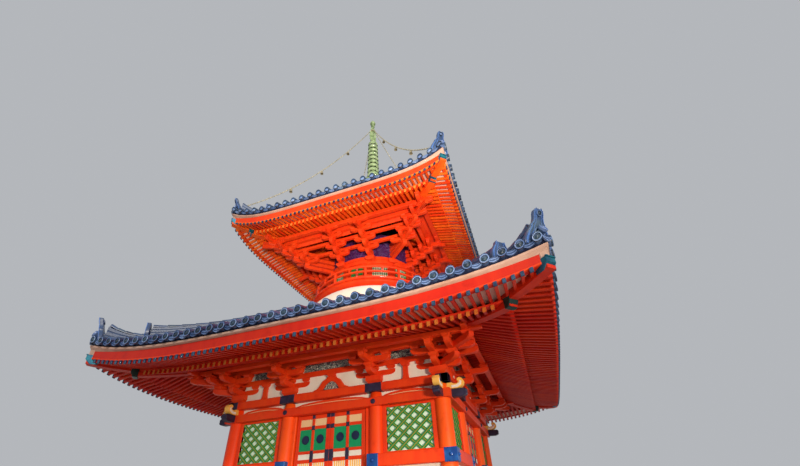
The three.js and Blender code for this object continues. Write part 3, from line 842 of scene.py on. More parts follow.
@dataclass(frozen=True)
class ScrollPaint:
    """Painted scrollwork on a dark ground, in the plain wave pattern that such friezes carry.

    Attributes:
        name: The material's name.
        ground: Colour of the ground.
        colours: Colours of the scrolls, from their middle outwards.
        scale: Fineness of the scrolls.
    """

    name: str
    ground: Colour
    colours: tuple[Colour, Colour, Colour]
    scale: float = 5.0

    def made(self) -> bpy.types.Material:
        """Makes the material."""
        finish = Finish(self.name)
        swirl = finish.texture("Noise", "Fac", Scale=self.scale, Detail=1.0, Distortion=2.5)
        bands = abs((swirl * 7.0) % 1.0 - 0.5) * 2.0
        inner, middle, outer = self.colours
        colour = finish.ramp(
            bands, [(0.0, self.ground), (0.42, self.ground), (0.52, outer), (0.7, middle), (0.92, inner)],
        )
        return finish.done(colour, 0.5, bands, 0.006)


FINISHES = {
    "vermilion": Paint("vermilion_paint", (0.68, 0.026, 0.004), (0.86, 0.100, 0.008)),
    # Posts: the vermilion made brighter and more orange, as painted light for sun on the posts.
    "post_painted_light": Paint("post_painted_light", (0.84, 0.048, 0.003), (0.95, 0.150, 0.008), 0.38),
    # Lower eave: darker copies of the vermilion for its rafters, soffit boards and fascia, as painted shade.
    "shaded_red": Paint("shaded_lower_rafter_paint", (0.49, 0.010, 0.003), (0.63, 0.040, 0.005), fading=0.6),
    "fascia_painted_shade": Paint("shaded_lower_fascia_paint", (0.50, 0.009, 0.003), (0.66, 0.036, 0.005)),
    # Upper eave: a brighter, more orange copy of the vermilion for its rafters and soffit boards, as painted
    # light.
    "rafter_painted_light": Paint("lit_upper_rafter_paint", (0.74, 0.040, 0.004), (0.92, 0.17, 0.010), fading=0.75),
    # Orange bead on the upper fascia's lower edge: a painted highlight where light catches that edge.
    "orange": Paint("edge_highlight_paint", (0.90, 0.17, 0.015), (0.95, 0.26, 0.03)),
    "cream": Paint("cream_paint", (0.74, 0.50, 0.25), (0.82, 0.62, 0.38), 0.6),
    "ochre": Paint("ochre_paint", (0.88, 0.42, 0.06), (0.92, 0.60, 0.18), 0.5),
    "white": Paint("white_paint", (0.80, 0.78, 0.70), (0.72, 0.68, 0.58), 0.6),
    "blush": Paint("blush_paint", (0.78, 0.50, 0.42), (0.80, 0.62, 0.55), 0.6),
    "green": Paint("green_paint", (0.012, 0.24, 0.045), (0.04, 0.38, 0.10), 0.45),
    "panel_green": Paint("panel_green_paint", (0.004, 0.27, 0.10), (0.015, 0.38, 0.18), 0.45),
    "bar_edge": Paint("lattice_edge_paint", (0.46, 0.20, 0.02), (0.62, 0.34, 0.06), 0.5),
    "mint": Paint("lattice_board_paint", (0.78, 0.96, 0.82), (0.70, 0.88, 0.70), 0.6),
    "plaster": Plaster(),
    "tile": Clay("smoked_tile", (
        (0.012, 0.028, 0.080), (0.028, 0.062, 0.155), (0.065, 0.120, 0.260), (0.16, 0.24, 0.40))),
    # Pale lavender on eave tile rims and lips and on the horns' rings: painted highlight, partly wear.
    "tile_worn": Clay("highlit_worn_tile", (
        (0.06, 0.12, 0.29), (0.12, 0.20, 0.44), (0.22, 0.33, 0.60), (0.40, 0.51, 0.76))),
    # Brighter blue for the pale strips on the ridges' end plates: painted highlight.
    "tile_lit": Clay("lit_ridge_end_tile", (
        (0.03, 0.09, 0.30), (0.06, 0.15, 0.45), (0.11, 0.25, 0.60), (0.23, 0.40, 0.76))),
    # Near-black blue for the eave tiles' ringed faces: painted shade.
    "tile_dark": Clay("shaded_tile_face", (
        (0.006, 0.016, 0.034), (0.012, 0.032, 0.060), (0.022, 0.055, 0.095), (0.05, 0.10, 0.15))),
    # Clay bed under the eave tiles: near-black navy, as painted shade under the tiles' edge.
    "bed_painted_shade": Paint("bed_painted_shade", (0.016, 0.020, 0.060), (0.035, 0.040, 0.10), 0.85),
    "pale": Paint("pale_board_paint", (0.46, 0.25, 0.17), (0.60, 0.41, 0.34), 0.6, 0.8),
    "tip_orange": Paint("rafter_end_paint", (0.86, 0.22, 0.030), (0.92, 0.36, 0.08), 0.5),
    # Lower base rafters' ends: a darker copy of the ochre end paint, as painted shade.
    "tip_painted_shade": Paint("shaded_lower_rafter_end_paint", (0.52, 0.12, 0.015), (0.68, 0.24, 0.05), 0.5),
    "tip_cap": Metal("rafter_tip_fitting", (0.008, 0.024, 0.075), (0.04, 0.11, 0.20), 0.3),
    "teal": Metal("teal_fitting", (0.003, 0.070, 0.140), (0.01, 0.24, 0.30)),
    # Lower base hip rafters' caps: a darker copy of the teal, as painted shade.
    "teal_dull": Metal("dull_teal_fitting", (0.006, 0.030, 0.030), (0.02, 0.08, 0.06)),
    "navy": Metal("navy_fitting", (0.003, 0.050, 0.26), (0.01, 0.14, 0.46), 0.3),
    "boss": Metal("door_boss_fitting", (0.004, 0.010, 0.050), (0.01, 0.03, 0.11), 0.3),
    "iron": Metal("dark_fitting", (0.016, 0.012, 0.040), (0.04, 0.03, 0.09), 0.3, 0.5),
    "bronze": Metal("bronze_patina", (0.22, 0.33, 0.14), (0.66, 0.80, 0.46), 0.15, 0.45),
    "chain_metal": Metal("chain_metal", (0.42, 0.38, 0.26), (0.70, 0.66, 0.50), 0.2, 0.45),
    "bell_metal": Metal("bell_metal", (0.26, 0.22, 0.13), (0.56, 0.50, 0.36), 0.3, 0.4),
    "granite": Granite(),
    "timber_out": Timber("boards_outwards", (1.0, 0.08, 1.0)),
    "timber_up": Timber("posts_upright", (1.0, 1.0, 0.08)),
    "scroll": ScrollPaint(
        "scroll_frieze", (0.035, 0.06, 0.075), ((0.75, 0.72, 0.62), (0.10, 0.30, 0.24), (0.42, 0.10, 0.14))),
    # Round core between the upper bracket sets: dark purple-navy, as painted shade between the arms.
    "night_panel": ScrollPaint(
        "shaded_core_boards", (0.034, 0.003, 0.060),
        ((0.10, 0.05, 0.16), (0.02, 0.014, 0.11), (0.13, 0.004, 0.09)), 2.2),
}


# Lines that the storeys share with the solids


@dataclass(frozen=True)
class EaveLine:
    """The lines of one roof, as the solids have them.

    Attributes:
        edge: Distance of the fascia from the centre line.
        lift: How far the fascia's corner rises.
        lift_power: How late the rise begins along the eave.
        lift_from: Distance from the centre line at which the rise begins.
        tip_bottom: Underside of the flying rafters' tips.
        tip_top: Top of the flying rafters' tips.
        board_top: Top of the pale board on the fascia.
        base_tip: Distance of the base rafters' tips.
        wall: Distance at which the base rafters begin.
        tile_edge: Distance of the tiles' edge.
        tile_bottom: Lowest point of the eave tiles.
        roof_top: Top of the tiled surface.
        roof_head: Distance of that top from the centre line.
        curve: How hollow the tiled surface is.
        slope: Slope of the base rafters.
        base_lift: How far the base rafters' tips lie over the flying rafters' tips.
    """

    edge: float
    lift: float
    lift_power: float
    lift_from: float
    tip_bottom: float
    tip_top: float
    board_top: float
    base_tip: float
    wall: float
    tile_edge: float
    tile_bottom: float
    roof_top: float
    roof_head: float
    curve: float
    slope: float = 0.31
    base_lift: float = 0.02

    def rise(self, along: Points, out: Points) -> Points:
        """How far the eave rises at places along and out."""
        reach = np.maximum(0, (out - self.lift_from) / (self.edge - self.lift_from))
        return self.lift * (np.abs(along) / self.edge) ** self.lift_power * reach

    def risen(self, points: Points) -> Points:
        """Points of a front piece after the eave's rise."""
        points[:, 2] += self.rise(points[:, 0], -points[:, 1])
        return points

    def mitred(self, points: Points) -> Points:
        """Points of a moulding whose x runs from -1 to 1, drawn out to the hips and risen."""
        points[:, 0] *= -points[:, 1]
        return self.risen(points)

    def on_hip(self, points: Points) -> Points:
        """Points whose x is a distance out and whose y is across, set on the front right hip."""
        out, across = points[:, 0].copy(), points[:, 1] / ROOT2
        points[:, 0], points[:, 1] = out + across, across - out
        return points

    def surface(self, out: Points) -> Points:
        """Height of the tiled surface at a distance out."""
        share = (self.tile_edge - out) / (self.tile_edge - self.roof_head)
        foot = self.tile_bottom + 0.15
        return foot + (self.roof_top - foot) * np.maximum(share, 0) ** self.curve

    def base_under(self, out: Points) -> Points:
        """Underside of the base rafters."""
        return self.tip_bottom + self.base_lift + self.slope * (self.base_tip - out)

    @property
    def flying_slope(self) -> float:
        """Slope of the flying rafters."""
        return (self.base_lift + 0.115) / (self.edge + 0.03 - self.base_tip)

    def flying_under(self, out: Points) -> Points:
        """Underside of the flying rafters."""
        return self.tip_bottom + self.flying_slope * (self.edge + 0.03 - out)


LOWER_LINE = EaveLine(
    edge=4.430, lift=0.334, lift_power=3.6, lift_from=2.300, tip_bottom=4.020, tip_top=4.084, board_top=4.343,
    base_tip=3.810, wall=2.310, tile_edge=4.560, tile_bottom=4.330, roof_top=6.190, roof_head=1.500,
    curve=1.22,
    slope=0.353,
)
UPPER_LINE = EaveLine(
    edge=3.109, lift=0.387, lift_power=5.0, lift_from=1.500, tip_bottom=8.200, tip_top=8.248, board_top=8.526,
    base_tip=2.720, wall=1.330, tile_edge=3.230, tile_bottom=8.530, roof_top=11.200, roof_head=0.330,
    curve=1.30,
    slope=0.265, base_lift=0.03,
)
TALL_END = ((0.17, -0.10), (0.20, -0.04), (0.19, 0.06), (0.15, 0.14), (0.11, 0.20), (0.09, 0.27))
TAIL_END = (
    (0.245, -0.12), (0.25, -0.06), (0.230, -0.01), (0.203, 0.06), (0.155, 0.125), (0.158, 0.170),
    (0.122, 0.200), (0.098, 0.240), (0.088, 0.30), (0.092, 0.36), (0.082, 0.41), (0.045, 0.445),
)
CUTS = [-1 + 0.05 * k for k in range(11)] + [-0.4, -0.25, 0, 0.25, 0.4] + [0.5 + 0.05 * k for k in range(11)]


# Putting pieces into the scene


@dataclass
class Assembly:
    """A part of the pagoda that makes its own pieces.

    Attributes:
        palette: The finishes by their names.
    """

    palette: dict[str, bpy.types.Material]

    def show(
        self, name: str, form: Form, finishes: str, replaces: Sequence[str] = (), slot: Slot = Slot.VERMILION,
        body: str = "root", angle: float = 35, weld: bool = False,
    ) -> None:
        """Makes one piece from a form.

        Args:
            name: The piece's name.
            form: Its form.
            finishes: The names of its finishes, in the order of their numbers.
            replaces: The CAD nodes that it stands for.
            slot: Not used; it names one of the record's slots.
            body: The body that it rides on.
            angle: Edges sharper than this many degrees stay sharp.
            weld: Whether points that meet are merged.
        """
        mesh = bpy.data.meshes.new(name)
        mesh.vertices.add(len(form.points))
        mesh.vertices.foreach_set("co", form.points.astype(np.float32).ravel())
        mesh.loops.add(len(form.corners))
        mesh.loops.foreach_set("vertex_index", form.corners.astype(np.int32))
        mesh.polygons.add(len(form.counts))
        mesh.polygons.foreach_set("loop_start", form.starts)
        mesh.polygons.foreach_set("material_index", form.finish)
        mesh.attributes.new("tint", "FLOAT", "POINT").data.foreach_set("value", form.tint.astype(np.float32))
        mesh.update(calc_edges=True)
        piece = bpy.data.objects.new(name, mesh)
        bpy.context.scene.collection.objects.link(piece)
        for finish in finishes.split():
            mesh.materials.append(self.palette[finish])
        bpy.ops.object.select_all(action="DESELECT")
        piece.select_set(True)
        bpy.context.view_layer.objects.active = piece
        if weld:
            with editing(piece):
                bpy.ops.mesh.remove_doubles(threshold=2e-4)
                bpy.ops.mesh.normals_make_consistent(inside=False)
        bpy.ops.object.shade_smooth_by_angle(angle=math.radians(angle))
        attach(piece, body)
        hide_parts(*replaces)
        LOG.info("%s: %d faces on %s", name, len(mesh.polygons), body)

    def show_sides(
        self, name: str, form: Form, finishes: str, node: str, sides: Sequence[int] = range(4),
    ) -> None:
        """Makes one piece on each of some sides.

        Args:
            name: The pieces' name, with {} for the side.
            form: The form on the front.
            finishes: The names of its finishes.
            node: The name of the nodes that the pieces stand for, with {} for the side.
            sides: The sides' numbers.
        """
        for quarter in sides:
            side = SIDES[quarter]
            self.show(name.format(side), form.turned(QUARTER * quarter), finishes, [node.format(side)])


@dataclass
class RoofPart(Assembly):
    """What the eave and the tiles of one roof share.

    Attributes:
        storey: Which roof it is.
        line: The roof's lines.
    """

    storey: Storey
    line: EaveLine

    def show_part(
        self, part: str, name: str, form: Form, finishes: str, slot: Slot, **settings: object,
    ) -> None:
        """Makes a piece that stands for a part of this storey's roof."""
        storey = self.storey.value
        self.show(f"{storey}_{name}", form, finishes, [f"{storey}_{part}"], slot, **settings)


@dataclass
class EaveWork(RoofPart):
    """Two tiers of rafters under one roof, with the boards and the fascia that they carry.

    Attributes:
        pitch: Distance between rafters.
        rafter: Width and height of a base rafter.
        flying_width: Width of a flying rafter.
        hip_half: Half the width of a hip rafter.
    """

    pitch: float = 0.128
    rafter: tuple[float, float] = (0.056, 0.085)
    flying_width: float = 0.048
    hip_half: float = 0.078

    def __post_init__(self) -> None:
        """Picks the finishes: rafters, boards, bead, rafter ends and the base hip rafters' caps; the lower
        storey's rafters, fascia, ends and caps are darker copies as painted shade, the upper's rafters a
        brighter copy and its orange bead as painted light.
        """
        self.timber, self.board, self.bead, self.ends, self.cap = {
            Storey.LOWER: ("shaded_red", "fascia_painted_shade", "vermilion", "tip_painted_shade", "teal_dull"),
            Storey.UPPER: ("rafter_painted_light", "vermilion", "orange", "tip_orange", "teal"),
        }[self.storey]
        self.tall = self.line.tip_top - self.line.tip_bottom

    def _eave(
        self, name: str, form: Form, finishes: str, slot: Slot = Slot.VERMILION, weld: bool = False,
    ) -> None:
        """Makes a piece of the eave."""
        self.show_part("eave", name, form, finishes, slot, weld=weld)

    def _places(self, reach: float) -> list[float]:
        """Middles of the rafters on one side, out to a distance."""
        count = int(reach / self.pitch)
        return [(k + 0.5) * self.pitch for k in range(-count, count)]

    def _stick(self, x: float, tip: float, inner: float, size: Place, under: Callable, slope: float) -> Form:
        """One rafter of the front.

        Args:
            x: Its middle.
            tip: Distance of its tip.
            inner: Distance of its inner end.
            size: Its width and height.
            under: Gives its underside at a distance out.
            slope: Its slope.

        Returns:
            The rafter, risen with the eave.
        """
        form = stick((size[0], tip - inner, size[1]), 0.005).moved(x, -tip, under(tip))
        form.points[:, 2] += slope * (form.points[:, 1] + tip)
        return form.reshaped(self.line.risen).varied()

    def base_rafters(self) -> None:
        """Makes the lower tier, with orange ends."""
        line = self.line
        forms = []
        for x in self._places(line.base_tip - 0.16):
            inner = max(line.wall - 0.03, abs(x) + 0.1)
            form = self._stick(x, line.base_tip, inner, self.rafter, line.base_under, line.slope)
            forms.append(form.painted(1, lambda at, normal: normal[:, 1] < -0.9))
        self._eave("base_rafters", on_four_sides(*forms), f"{self.timber} {self.ends}")

    def flying_rafters(self) -> None:
        """Makes the upper tier, with a metal cap on each tip."""
        line, width, height = self.line, self.flying_width, self.tall
        tip = line.edge + 0.024
        forms = []
        for x in self._places(line.edge - 0.10):
            inner = max(line.base_tip - 0.12, abs(x) + 0.1)
            if tip - inner < 0.1:
                continue
            forms.append(self._stick(x, tip, inner, (width, height), line.flying_under, line.flying_slope))
            middle = (x, -tip + 0.009, line.flying_under(tip) + height / 2)
            forms.append(
                block((width + 0.008, 0.030, height + 0.008), middle, 0.004).reshaped(line.risen).painted(1)
            )
        self._eave("flying_rafters", on_four_sides(*forms), f"{self.timber} tip_cap")

    def _drawn(self, section: Outline) -> Form:
        """A moulding of the eave on four sides; its section is in distance out and height."""
        return on_four_sides(run([(-out, z) for out, z in section], CUTS).reshaped(self.line.mitred))

    def _soffit(self, under: Callable, out: float, inner: float, over: float, thick: float) -> Form:
        """A board over the underside of one tier of rafters, between an outer and an inner edge."""
        low, high = under(out) + over, under(inner) + over
        return self._drawn([(out, low), (inner, high), (inner, high + thick), (out, low + thick)])

    def _pale(self, edge: float, foot: float) -> list[Form]:
        """The pale board on the fascia, which grows deeper towards the corners, and its end blocks.

        Args:
            edge: Distance of the fascia.
            foot: Height of the fascia's top.

        Returns:
            The board and the blocks, on four sides.
        """
        line, lip = self.line, edge + 0.042
        board = run([(-out, z) for out, z in (
            (edge + 0.002, foot + 0.006), (lip - 0.006, foot + 0.020), (lip, foot + 0.026),
            (lip, line.board_top), (edge - 0.13, line.board_top + 0.003), (edge - 0.13, foot),
        )], CUTS)
        lower = board.points[:, 2] < foot + 0.01
        board.points[lower, 2] -= 0.050 * np.abs(board.points[lower, 0]) ** 6
        low, high, front, back = foot + 0.01, line.tip_top + 0.040, -edge - 0.012, -edge + 0.08
        section = [(front, high), (front, low), (back, low), (back, high)]
        ends = joined([run(section, stations, True) for stations in ((-1, -0.974), (0.974, 1))])
        return [on_four_sides(form.reshaped(line.mitred)) for form in (board, ends)]

    def boards(self) -> None:
        """Makes the soffit boards, the beam on the base rafters' tips, the fascia and the pale board."""
        line, edge, tip, over = self.line, self.line.edge, self.line.base_tip, self.rafter[1]
        soffit = self._soffit(line.base_under, tip - 0.01, line.wall - 0.03, over, 0.03)
        flying = self._soffit(line.flying_under, edge - 0.02, tip - 0.14, self.tall, 0.02)
        self._eave("soffit_boards", joined([soffit, flying.painted(1)]), f"{self.timber} blush", weld=True)
        low, high = line.base_under(tip - 0.01) + over - 0.004, line.flying_under(tip) + 0.004
        beam = self._drawn([
            (tip - 0.022, low), (tip - 0.016, low + 0.006), (tip - 0.016, high), (tip - 0.12, high),
            (tip - 0.12, low),
        ])
        foot, top = line.board_top - 0.062, line.tip_top
        fascia = self._drawn([
            (edge, top + 0.030), (edge, foot + 0.003), (edge - 0.10, foot + 0.003),
            (edge - 0.10, top + 0.002), (edge - 0.01, top + 0.002), (edge - 0.01, top + 0.030),
        ])
        bead = self._drawn([
            (edge + 0.006, top + 0.005), (edge + 0.006, top + 0.026), (edge + 0.002, top + 0.032),
            (edge - 0.03, top + 0.032), (edge - 0.03, top), (edge, top),
        ])
        self._eave("fascia", joined([fascia, beam, bead.painted(1)]), f"{self.board} {self.bead}", weld=True)
        self._eave("pale_board", joined(self._pale(edge, foot)), "pale", Slot.BOARD, weld=True)

    def _hip_beam(self, start: float, end: float, under: Callable, low: float, high: float) -> Form:
        """One hip rafter of the front right hip.

        Args:
            start: Distance of its inner end.
            end: Distance of its tip.
            under: Underside of the rafters beside it.
            low: Its underside against theirs.
            high: Its top against theirs.

        Returns:
            The form.
        """
        half = self.hip_half
        form = run(
            [(-half, low), (half, low), (half, high), (-half, high)], list(np.linspace(start, end, 9)),
            True,
        )
        out = form.points[:, 0]
        form.points[:, 2] += under(out) + self.line.rise(out, out)
        return form.reshaped(self.line.on_hip)

    def _hip_cap(self, tip: float, low: float, high: float, long: float) -> Form:
        """The metal cap of a hip rafter: a box whose lower front edge is cut off.

        Args:
            tip: Distance of the rafter's tip.
            low: Underside of the rafter there.
            high: Top of the rafter there.
            long: Its length along the distance out.

        Returns:
            The form.
        """
        inner, width = tip - long, 2 * self.hip_half
        outline = [
            (inner, low), (tip - long * 0.4, low), (tip, low + (high - low) * 0.52), (tip, high),
            (inner, high),
        ]
        lip = [
            (tip + a, high + b)
            for a, b in ((-0.012, -0.012), (0.010, -0.012), (0.010, 0.008), (-0.012, 0.008))
        ]
        return joined(
            [plate(outline, width + 0.016, 0.006), plate(lip, width + 0.026, 0.003)]
        ).reshaped(self.line.on_hip)

    def hip_rafters(self) -> None:
        """Makes the hip rafters of both tiers with their caps."""
        line = self.line
        base_tip, flying_tip = line.base_tip + 0.040, line.edge + 0.012
        forms = [
            self._hip_beam(line.base_tip - 0.3, flying_tip - 0.02, line.flying_under, -0.060, 0.09),
            self._hip_beam(line.wall - 0.1, base_tip - 0.02, line.base_under, -0.045, 0.11),
        ]
        for number, tip, under, low, high, long in (
            (2, base_tip, line.base_under, -0.052, 0.118, 0.10),
            (1, flying_tip, line.flying_under, -0.075, 0.112, 0.17),
        ):
            at = float(under(tip) + line.rise(np.array(tip), np.array(tip)))
            forms.append(self._hip_cap(tip, at + low, at + high, long).painted(number))
        self._eave("hip_rafters", on_four_sides(*forms), f"{self.timber} teal {self.cap}")

    def build(self) -> None:
        """Makes all the pieces of the eave."""
        self.base_rafters()
        self.flying_rafters()
        self.boards()
        self.hip_rafters()


@dataclass
class TiledRoof(RoofPart):
    """Round and dished tiles in courses, eave tiles, and the stacked ridges on the hips.

    Attributes:
        pitch: Distance between the rows of round tiles.
        course: Length of a tile that shows.
        lap: Length of a tile that the next one covers.
        radius: Radius of a round tile.
        ridge_head: Distance at which the hip ridges begin.
        ridge_end: Distance from the corner at which the tall ridge ends.
    """

    pitch: float = 0.256
    course: float = 0.285
    lap: float = 0.03
    radius: float = 0.068
    ridge_head: float = 1.65
    ridge_end: float = 0.78

    def __post_init__(self) -> None:
        """Measures the slope."""
        self.outs = np.linspace(self.line.tile_edge, self.line.roof_head, 200)
        heights = self.line.surface(self.outs)
        self.lengths = np.concatenate(([0], np.cumsum(np.hypot(np.diff(self.outs), np.diff(heights)))))

    def _roof(
        self, name: str, form: Form, finishes: str = "tile tile_worn tile_dark tile_lit",
        **settings: object,
    ) -> None:
        """Makes a piece of the roof."""
        self.show_part("roof", name, form, finishes, Slot.TILE, **settings)

    def _surface(self, out: float) -> float:
        """Height of the tiled surface at a distance out."""
        return float(self.line.surface(np.array(out)))

    def _at(self, length: float) -> tuple[float, float]:
        """Distance out and height at a length up the slope."""
        out = float(np.interp(length, self.lengths, self.outs))
        return out, self._surface(out)

    def _row(self, unit: Form, x: float, sink: float, clear: float, first: float) -> list[Form]:
        """One row of tiles from the eave up to the hip or the top.

        Args:
            unit: The tile, one course long with its lap.
            x: Middle of the row.
            sink: How far the tile lies under the tiled surface.
            clear: Distance kept from the hip.
            first: Where the row begins, measured up the slope.

        Returns:
            The tiles.
        """
        whole = self.course + self.lap
        last = float(np.interp(-max(abs(x) + clear, self.line.roof_head), -self.outs, self.lengths))
        forms = []
        length = first
        while length < last - 0.05:
            reach = min(whole, last - length)
            out, z = self._at(length)
            inner, top = self._at(length + reach)
            tile = unit.scaled(1, reach / whole, 1).turned(math.atan2(top - z, out - inner) - 0.035, "X")
            forms.append(tile.moved(x, -out, z - sink + 0.012).varied())
            length += self.course
        return forms

    def _rows_at(self, half_step: float) -> list[float]:
        """Middles of the rows on one side."""
        places = [(k + half_step) * self.pitch for k in range(-20, 20)]
        return [x for x in places if abs(x) < self.line.tile_edge - 0.1]

    def tiles(self) -> None:
        """Makes the courses of round and dished tiles."""
        length = self.course + self.lap
        cover = shell(self.radius, length, 0.88, 14)
        dish = pan(self.pitch * 0.86, length, 0.035, 0.016)
        forms = [tile for x in self._rows_at(0.0) for tile in self._row(cover, x, 0.035, 0.03, 0.024)]
        forms += [tile for x in self._rows_at(0.5) for tile in self._row(dish, x, 0.062, 0.0, 0.085)]
        self._roof("roof_tiles", on_four_sides(joined(forms).reshaped(self.line.risen)), "tile", angle=50)

    def bed(self) -> None:
        """Makes the clay bed and boards under the tiles as one closed shell; its near-black navy is painted
        shade.
        """
        line = self.line
        front = line.tile_edge - 0.095
        outs = [front, *np.linspace(line.tile_edge - 0.3, line.roof_head, 9)]
        section = [(-out, self._surface(out) - 0.085) for out in outs]
        section += [(-out, self._surface(out) - 0.155) for out in reversed(outs[1:])]
        section += [(-line.edge + 0.12, line.board_top + 0.006), (-front, line.tile_bottom + 0.045)]
        self._roof("roof_bed", on_four_sides(run(section, CUTS).reshaped(line.mitred)), "bed_painted_shade", weld=True)

    def _disc(self, r: float) -> Form:
        """The ringed face of a round eave tile, looking towards -Y; its rim or its middle is painted pale as
        painted highlight and wear, the rest of its face near-black as painted shade.

        Args:
            r: Its radius.

        Returns:
            The form.
        """
        shares = (
            (0, -0.085), (0.93, -0.085), (0.93, 0), (1, 0), (1, 0.020), (0.93, 0.026), (0.80, 0.024),
            (0.74, 0.010), (0.46, 0.010), (0.38, 0.020), (0.2, 0.026), (0, 0.027),
        )
        inner, outer = {Storey.LOWER: (0.77, 0.97), Storey.UPPER: (0.0, 0.60)}[self.storey]

        def worn(at: Points, normal: Points) -> Points:
            """Whether a face is painted pale, as painted highlight and wear."""
            away = np.hypot(at[:, 0], at[:, 1]) / r
            return (at[:, 2] > 0.004) & (away > inner) & (away < outer)

        # The front of the face is painted near-black as painted shade; the pale band is painted highlight and
        # wear.
        disc = spun([(r * share, z) for share, z in shares], 16).painted(
            2, lambda at, normal: at[:, 2] > 0.004,
        )
        return disc.painted(1, worn).turned(QUARTER, "X")

    def _pendant(self, half: float) -> Form:
        """The hanging crescent face of a dished eave tile, with two lips painted pale as painted highlight
        and wear.

        Args:
            half: Half its width.

        Returns:
            The form.
        """
        shares = [k / 6 - 1 for k in range(13)]
        top = [(half * s, -0.012 * (1 - s * s)) for s in shares]
        foot = [(half * s, -0.102 * (1 - 0.62 * s * s)) for s in reversed(shares)]
        forms = [plate([*top, *foot], 0.026, 0.004)]
        for low in (-0.100, -0.060):
            edge = [(half * 0.97 * s, low * (1 - 0.62 * s * s)) for s in shares]
            lip = plate([*edge, *[(x, z + 0.015) for x, z in reversed(edge)]], 0.012)
            forms.append(lip.moved(0, -0.016).painted(1))
        return joined(forms)

    def eave_tiles(self) -> None:
        """Makes the ringed discs and hanging crescents along the eave."""
        edge = self.line.tile_edge
        z = self._surface(edge)
        disc, crescent = self._disc(0.071), self._pendant(self.pitch * 0.40)
        forms = [disc.moved(x, -edge + 0.030, z - 0.040).varied() for x in self._rows_at(0.0)]
        forms += [crescent.moved(x, -edge + 0.077, z - 0.019).varied() for x in self._rows_at(0.5)]
        self._roof("eave_tiles", on_four_sides(joined(forms).reshaped(self.line.risen)))

    def _hip_height(self, out: float) -> float:
        """Height of the tiled hip at a distance out."""
        return float(self.line.surface(np.array(out)) + self.line.rise(np.array(out), np.array(out)))

    def _stack(self, start: float, end: float, half: float, layers: int, extra: float) -> list[Form]:
        """A hip ridge of stacked tiles with a row of round tiles on it.

        Args:
            start: Distance of its upper end.
            end: Distance of its lower end.
            half: Half its width.
            layers: Number of tiles in the stack.
            extra: How far its top sweeps up at its end.

        Returns:
            Its forms.
        """
        thick, foot, long = 0.042, -0.05, (end - start) * ROOT2
        side = [
            (half - 0.006 * k + swell, foot + thick * (k + share))
            for k in range(layers) for swell, share in ((0.0, 0.0), (0.007, 0.05), (0.007, 0.72), (0.0, 0.80))
        ]
        top = foot + thick * layers

        def sweep(out: float) -> float:
            """How much the ridge's top sweeps up."""
            return extra * max(0.0, (out - start) / (end - start)) ** 2

        body = run([*side, *[(-v, z) for v, z in reversed(side)]], list(np.linspace(start, end, 15)), True)
        shares = (body.points[:, 2] - foot) / (top - foot)
        body.points[:, 2] += [
            self._hip_height(at) + sweep(at) * part for at, part in zip(body.points[:, 0], shares)
        ]
        forms = [body.reshaped(self.line.on_hip)]
        length = min(0.27, long / 5)
        cover = shell(half * 0.62, length + self.lap, 0.9, 14)
        count = int(long / length)
        step = (end - start) / count
        for k in range(count):
            out = end - step * k
            z, upper = (self._hip_height(place) + sweep(place) for place in (out, out - step))
            tile = cover.turned(math.atan2(upper - z, step * ROOT2) - 0.03, "X").turned(QUARTER / 2)
            forms.append(tile.moved(out, -out, z + top + 0.010).varied())
        return forms

    def _end_plate(self, right: Outline, lean: float, rings: Sequence[tuple[float, float]]) -> Form:
        """The plate that closes a ridge, with a fin on top; it looks towards -Y.

        Args:
            right: Half widths and heights of its outline, from the foot up.
            lean: How far it leans out for each metre of height.
            rings: Height and radius of each ring on its face.

        Returns:
            The form.
        """
        forms = [plate([*right, *[(-x, z) for x, z in reversed(right)]], 0.07, 0.010)]
        inside = [(x, z - 0.01) for x, z in right[1:]]
        for line, outer, inner, depth, y in (
            (right, 0.93, 0.80, 0.016, -0.040), (inside, 0.58, 0.48, 0.012, -0.038),
        ):
            strip = [*[(x * outer, z) for x, z in line], *[(x * inner, z) for x, z in reversed(line)]]
            for sign in (-1, 1):
                # The strips take the lit tile finish, as painted highlight.
                forms.append(plate([(sign * x, z) for x, z in strip], depth, 0.002).moved(0, y).painted(3))
        form = joined([*forms, *[self._disc(radius).moved(0, -0.033, height) for height, radius in rings]])
        form.points[:, 1] -= lean * (form.points[:, 2] - right[0][1])
        return form

    def _horn(self, r: float, long: float) -> Form:
        """A round tile that points up and out over the corner, with a ring round its face painted pale as
        painted highlight and wear.

        Args:
            r: Its radius.
            long: Its length.

        Returns:
            The form.
        """
        horn = spun([
            (0, 0), (r * 0.86, 0), (r * 0.80, long * 0.5), (r * 0.92, long - 0.05), (r * 1.12, long - 0.035),
            (r * 1.12, long), (r * 0.92, long + 0.004), (r * 0.84, long - 0.010), (r * 0.35, long - 0.010),
            (r * 0.28, long), (0, long + 0.002),
        ], 20)
        return horn.painted(1, lambda at, normal: at[:, 2] > long - 0.045).turned(QUARTER - 0.42, "X")

    def ridges(self) -> None:
        """Makes the four hips: a tall ridge that stops short, and a low one that goes on to the corner."""
        edge = self.line.tile_edge
        end, tail = edge - self.ridge_end, edge - 0.225
        end_top, tail_top = self._hip_height(end) + 0.10, self._hip_height(tail)
        forms = self._stack(self.ridge_head, end, 0.115, 5, 0.12)
        closings = [(self._end_plate(TALL_END, 0.12, [(0.08, 0.085)]), end + 0.03, end_top)]
        low_stack = self._stack(end, tail, 0.105, 3, 0.20)
        closings += [
            (self._end_plate(TAIL_END, 0.36, [(0.055, 0.095), (0.36, 0.048)]), tail, tail_top),
            (self._horn(0.064, 0.210), tail + 0.015, tail_top + 0.010),
            (self._pendant(0.085), edge - 0.090, tail_top - 0.045),
        ]
        tall, *low = [form.turned(QUARTER / 2).moved(out, -out, z) for form, out, z in closings]
        self._roof("hip_ridges", on_four_sides(*forms, tall, *low_stack, *low))

